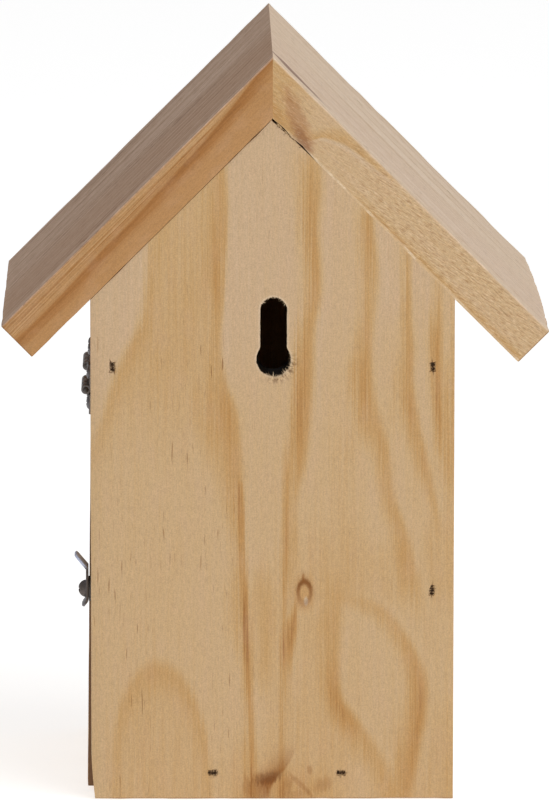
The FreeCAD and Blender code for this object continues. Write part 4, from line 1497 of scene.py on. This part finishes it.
left_roof = cut_board("roof_board_door_side", LEFT_SLOPE, Y_AXIS)
add_piece("roof_over_door", left_roof, left_pine, "box", "pine_roof", "roof_board_door_side")
right_roof = cut_board("roof_board_fixed_side", RIGHT_SLOPE, Y_AXIS, nick=0.5 * MM)
wane_corner(right_roof)
open_joint(right_roof)
joint = Vector((0.0, PANEL_BACK - FIBRE_DEPTH, JOINT_TOP))
add_fibres(
    right_roof, right_pine,
    [joint + RIGHT_SLOPE * JOINT_START, joint + RIGHT_SLOPE * JOINT_END], [LEFT_SLOPE] * 2,
    spacing=0.34, length=1.5, thickness=0.42, spread=0.9, seed=7,
)
add_piece("roof_over_wall", right_roof, right_pine, "box", "pine_roof", "roof_board_fixed_side")

# %% [markdown]
# Zinc
#
# Hinges, screws and the turn button are cheap zinc-plated steel. New zinc is pale grey with faint
# clouds. Handling and damp leave darker, duller patches, so tarnish lowers the shine and the colour
# together. The hinge leaves are darker still, partly tarnish and partly painted shade. The turn
# button is the brightest piece: its pale bluish colour is painted light and a painted reflection of
# the sky, while its lip and its sheared sides below the tab get painted shade, and its screw is
# made darker and browner as painted shade. The brads are bare iron.

# %% Metal finishes
SPANGLES = 1 / MM
SPANGLE_DEPTH = 0.02 * MM
PATCHES = 0.35 / MM
TARNISH = tint(70, 63, 56)
# The grey of painted shade on the turn button's lip and sheared sides.
PAINTED_SHADE_GREY = tint(88, 80, 76)
BUTTON_MIDDLE = 58.0
BUTTON_SIDE = 4.4
BUTTON_LIP = 63.6
BUTTON_TAB = 74.0


def button_painted_shade(where):
    """Where painted shade goes: 1 on the lip of the turn button and on its sheared sides below the bent tab.
    """
    sideways, height = (
        where.node("ShaderNodeSeparateXYZ", (), {0: where}, out=axis) / MM for axis in ("Y", "Z")
    )
    sides = eased(abs(sideways - BUTTON_MIDDLE), BUTTON_SIDE - 0.2, BUTTON_SIDE)
    sides = sides * eased(height, BUTTON_TAB + 1.5, BUTTON_TAB)
    return sides.maths("MAXIMUM", sides, eased(height, BUTTON_LIP + 1.0, BUTTON_LIP) * 0.9)


def zinc(name, bright, dull, tarnish, roughness, metallic=0.5, painted_shade=None):
    """Plated steel with clouds and patches of tarnish, and painted shade where a function of the place puts
    it.
    """
    metal = start_finish(name, roughness=roughness, specular=0.5)
    spangle = clouds(scaled(metal.where, SPANGLES), 3.0, 0.6)
    patch = eased(clouds(scaled(metal.where, PATCHES)), 0.68 - tarnish * 0.25, 0.78)
    colour = blended(patch * 0.8, blended(spangle, bright, dull), TARNISH)
    # painted shade, on the places that the mask gives
    if painted_shade:
        colour = blended(painted_shade(metal.where), colour, PAINTED_SHADE_GREY)
    metal.shader.inputs["Metallic"].default_value = metallic
    connect(
        metal, base_color=colour, roughness=roughness + patch * 0.2 + (spangle - 0.5) * 0.1,
        normal=relief(spangle, SPANGLE_DEPTH),
    )
    return metal.material


# Hinge leaves: darker zinc, partly tarnish and partly painted shade.
hinge_zinc_and_shade = zinc("tarnished_and_shaded_hinge_zinc", tint(140, 137, 138), tint(84, 80, 79), tarnish=0.5, roughness=0.45)
pin_iron = zinc("dark_hinge_pin", tint(92, 88, 86), tint(58, 55, 53), tarnish=0.5, roughness=0.5)
screw_zinc = zinc("screw_zinc", tint(122, 119, 121), tint(78, 75, 75), tarnish=0.3, roughness=0.42)
# The button's screw: darker, browner zinc as painted shade.
shaded_screw_zinc = zinc("shaded_button_screw_zinc", tint(110, 100, 94), tint(66, 58, 54), tarnish=0.4, roughness=0.5)
# The button's pale bluish zinc is painted light and a painted reflection of the sky.
lit_button_zinc = zinc(
    "button_zinc_with_painted_light", tint(204, 212, 236), tint(186, 194, 218), tarnish=0.0, roughness=0.5,
    metallic=0.15, painted_shade=button_painted_shade,
)
washer_zinc = zinc("dull_washer_zinc", tint(104, 101, 101), tint(74, 72, 71), tarnish=0.4, roughness=0.5)
brad_iron = zinc("dark_brad_iron", tint(104, 76, 46), tint(54, 40, 28), tarnish=0.3, roughness=0.6)
metals = (hinge_zinc_and_shade, pin_iron, screw_zinc, shaded_screw_zinc, lit_button_zinc, washer_zinc, brad_iron)
print("metals:", [metal.name for metal in metals])

# %% [markdown]
# Hinge leaves, pins and the turn button
#
# These pieces keep their CAD shapes. Stamped steel has slightly rounded edges, which catch the light as
# thin bright lines, so every sharp edge gets a very small bevel.

# %% Stamped pieces
STAMPED_ROUND = 0.1 * MM
STAMPED_ANGLE = SHARP * 1.5


def stamped(node):
    """A metal piece with slightly rounded edges."""
    shape = joined_copy(node)
    sharp = [edge for edge in shape.edges if edge.is_manifold and edge.calc_face_angle() > STAMPED_ANGLE]
    bmesh.ops.bevel(
        shape, geom=sharp, offset=STAMPED_ROUND, offset_type="OFFSET", segments=2, profile=0.5,
        affect="EDGES", clamp_overlap=True,
    )
    return shape


for place in ("rear", "front"):
    frame_leaf, door_leaf, pin = (f"{place}_hinge_{part}" for part in ("frame_leaf", "door_leaf", "pin"))
    add_piece(f"{place}_leaf_on_header", stamped(frame_leaf), hinge_zinc_and_shade, "box", "hinge_steel", frame_leaf)
    add_piece(f"{place}_leaf_on_door", stamped(door_leaf), hinge_zinc_and_shade, "door", "hinge_steel", door_leaf)
    add_piece(f"{place}_hinge_wire", stamped(pin), pin_iron, "box", "hinge_steel", pin)
add_piece("button_strip", stamped("turn_button"), lit_button_zinc, "button", "button_steel", "turn_button")
washer = stamped("turn_button_washer")
add_piece("button_washer", washer, washer_zinc, "box", "button_steel", "turn_button_washer")

# %% [markdown]
# Screws
#
# Eight small round-head screws hold the hinges and a larger one holds the turn button. A screw is a
# turned shape: a line of points from its tip to the top of its head, each with its own radius, swept by
# a circle. Two crossed blocks cut the recess for the driver. The CAD model says where each screw sits
# and which way it points.

# %% The tree of screws
SHANK_STEPS = 12
HEAD_STEPS = 11
SEAT_GAP = 0.02 * MM
HEAD_TURN = 0.985 * math.pi / 2
BLUNT = 0.08
SCREW_SIDES = 24
RECESS_LONG = 0.62
RECESS_WIDE = 0.17


def facing_points(given):
    """The rotation that the source's axis and side ask for."""
    source = given["Source"]
    axis, side = (
        source.node("GeometryNodeInputNamedAttribute", {"data_type": "FLOAT_VECTOR"}, {"Name": word})
        for word in ("axis", "side")
    )
    return axis.node(
        "FunctionNodeAxesToRotation", {"primary_axis": "Z", "secondary_axis": "X"},
        {"Primary Axis": axis, "Secondary Axis": side},
    )


def screw_tree():
    """A round-head wood screw with a cross recess, on every point of the source."""
    given = start_tree("wood_screw", "Head", "Height", "Shank", "Length", "Tip")
    head, height, length = given["Head"], given["Height"], given["Length"]
    line = head.node("GeometryNodeCurvePrimitiveLine", (), {"End": (0.0, 0.0, 1.0)})
    count = SHANK_STEPS + HEAD_STEPS + 2
    line = line.node("GeometryNodeResampleCurve", {"mode": "COUNT"}, {"Curve": line, "Count": count})
    step = line.node("GeometryNodeSplineParameter", out="Index")
    on_head = step.maths("GREATER_THAN", step, SHANK_STEPS + 0.5)
    turn = (step - (SHANK_STEPS + 1)) * (HEAD_TURN / HEAD_STEPS)
    driven = step / SHANK_STEPS * length
    point = step.maths("MINIMUM", driven / given["Tip"] + BLUNT, 1.0)
    shank_rise = driven - length - SEAT_GAP
    rise = on_head * turn.maths("SINE", turn) * height + (1 - on_head) * shank_rise
    head_radius = turn.maths("COSINE", turn) * head / 2
    radius = on_head * head_radius + (1 - on_head) * point * given["Shank"] / 2
    place = rise.node("ShaderNodeCombineXYZ", (), {"Z": rise})
    line = line.node("GeometryNodeSetPosition", (), {"Geometry": line, "Position": place})
    ring = line.node("GeometryNodeCurvePrimitiveCircle", (), {"Resolution": SCREW_SIDES, "Radius": 1.0})
    screw = line.node(
        "GeometryNodeCurveToMesh", (),
        {"Curve": line, "Profile Curve": ring, "Scale": radius, "Fill Caps": True},
    )
    top = height.node("ShaderNodeCombineXYZ", (), {"Z": height})
    blocks = []
    for long, wide in ((RECESS_LONG, RECESS_WIDE), (RECESS_WIDE, RECESS_LONG)):
        size = bundle(head * long, head * wide, height)
        block = size.node("GeometryNodeMeshCube", (), {"Size": size})
        blocks.append(block.node("GeometryNodeTransform", (), {"Geometry": block, "Translation": top}))
    cut = screw.node(
        "GeometryNodeMeshBoolean", {"operation": "DIFFERENCE", "solver": "EXACT"},
        {"Mesh 1": screw, "Mesh 2": blocks},
    )
    spread = cut.node(
        "GeometryNodeInstanceOnPoints", (),
        {"Points": given["Source"], "Instance": cut, "Rotation": facing_points(given)},
    )
    return end_tree(spread, given["Finish"])


SCREWS = screw_tree()
print("screw tree:", len(SCREWS.nodes), "nodes")

# %% [markdown]
# Where the fasteners sit
#
# One CAD node holds all fasteners of a kind, so its mesh falls apart into islands. For each island the
# long direction is the fastener's axis, and the end with the wider spread is its head.

# %% Find and make the screws
def loose_parts(node):
    """The separate shapes of a CAD node, each as an array of its corners."""
    shape = joined_copy(node)
    waiting = set(shape.verts)
    while waiting:
        island = [waiting.pop()]
        for vert in island:
            nearby = {edge.other_vert(vert) for edge in vert.link_edges} & waiting
            waiting -= nearby
            island.extend(nearby)
        yield np.array([vert.co[:] for vert in island])
    shape.free()


def fasteners(node, sink=0.0):
    """For each fastener of a node: the middle of its head's top, less a sink, its axis and its wide side."""
    for corners in loose_parts(node):
        directions = np.linalg.svd(corners - corners.mean(0), full_matrices=False)[2]
        places = corners @ directions.T
        reach = np.ptp(places, axis=0)
        order = np.argsort(-reach)
        axis, side = directions[order[0]], directions[order[1]]
        middle = directions.T @ ((places.max(0) + places.min(0)) / 2)
        along = (corners - middle) @ axis
        wide = np.abs((corners - middle) @ side)
        if wide[along < 0].max() > wide[along > 0].max():
            axis = -axis
        yield middle + axis * (reach[order[0]] / 2 - sink), axis, side


def set_fasteners(name, tree, finish, body, slot, node_list, sink=0.0, **sizes):
    """One piece with every fastener of some CAD nodes."""
    found = (row for node in node_list for row in fasteners(node, sink))
    rows = sorted(found, key=lambda row: tuple(row[0]))
    places, axes, sides = zip(*rows)
    seeds = seed_mesh(name, places, axis=axes, side=sides)
    metres = {word: size * MM for word, size in sizes.items()}
    print(len(rows), "fasteners in", name)
    add_piece(name, grown(tree, seeds, finish, **metres), finish, body, slot, *node_list)


HINGE_SCREW = {"Head": 4.2, "Height": 0.95, "Shank": 2.4, "Length": 10.9, "Tip": 3.0}
BUTTON_SCREW = {"Head": 5.6, "Height": 2.5, "Shank": 3.0, "Length": 15.9, "Tip": 4.0}
set_fasteners(
    "screws_in_header", SCREWS, screw_zinc, "box", "screw_steel", ["hinge_frame_screws"],
    sink=HINGE_SCREW["Height"] * MM, **HINGE_SCREW,
)
set_fasteners(
    "screws_in_door", SCREWS, screw_zinc, "door", "screw_steel", ["hinge_door_screws"],
    sink=HINGE_SCREW["Height"] * MM, **HINGE_SCREW,
)
set_fasteners(
    "screw_of_button", SCREWS, shaded_screw_zinc, "box", "screw_steel", ["turn_button_screw"],
    sink=BUTTON_SCREW["Height"] * MM, **BUTTON_SCREW,
)

# %% [markdown]
# Brads
#
# The boards are held by machine-driven brads: square iron wires with a small flat head, sunk just below
# the surface. A block tapered to its point and a flat block for the head are joined into one shape, and
# a tree sets it everywhere.

# %% The tree of brads
BRAD_STEPS = 9
WIRE_SHARE = 0.98


def brad_tree():
    """A square brad with a flat head, on every point of the source."""
    given = start_tree("driven_brad", "Width", "Thickness", "Length", "Head", "Height", "Tip")
    length, height = given["Length"], given["Height"]
    size = bundle(given["Width"], given["Thickness"] * WIRE_SHARE, length)
    wire = size.node("GeometryNodeMeshCube", (), {"Size": size, "Vertices Z": BRAD_STEPS})
    place = wire.node("GeometryNodeInputPosition")
    above = place.node("ShaderNodeSeparateXYZ", (), {0: place}, out="Z") + length / 2
    narrow = above.maths("MINIMUM", above / given["Tip"] + BLUNT * 2, 1.0)
    tapered = place.node(
        "ShaderNodeVectorMath", {"operation": "MULTIPLY"},
        {0: place, 1: narrow.node("ShaderNodeCombineXYZ", (), {"X": narrow, "Y": narrow, "Z": 1.0})},
    )
    drop = length.node("ShaderNodeCombineXYZ", (), {"Z": length * -0.5 - SEAT_GAP})
    wire = wire.node("GeometryNodeSetPosition", (), {"Geometry": wire, "Position": tapered, "Offset": drop})
    size = bundle(given["Head"], given["Thickness"], height)
    head = size.node("GeometryNodeMeshCube", (), {"Size": size})
    drop = height.node("ShaderNodeCombineXYZ", (), {"Z": height * -0.5})
    head = head.node("GeometryNodeTransform", (), {"Geometry": head, "Translation": drop})
    brad = head.node(
        "GeometryNodeMeshBoolean", {"operation": "UNION", "solver": "EXACT"}, {"Mesh 2": [wire, head]}
    )
    spread = brad.node(
        "GeometryNodeInstanceOnPoints", (),
        {"Points": given["Source"], "Instance": brad, "Rotation": facing_points(given)},
    )
    return end_tree(spread, given["Finish"])


BRADS = brad_tree()
set_fasteners(
    "driven_brads", BRADS, brad_iron, "box", "brad_steel",
    ["back_wall_brads", "front_wall_brads", "floor_brads", "roof_brads"],
    Width=1.0, Thickness=1.3, Length=29.9, Head=2.6, Height=0.9, Tip=5.0,
)

# %% [markdown] Size and finish  The dressed box must stay inside the CAD box.
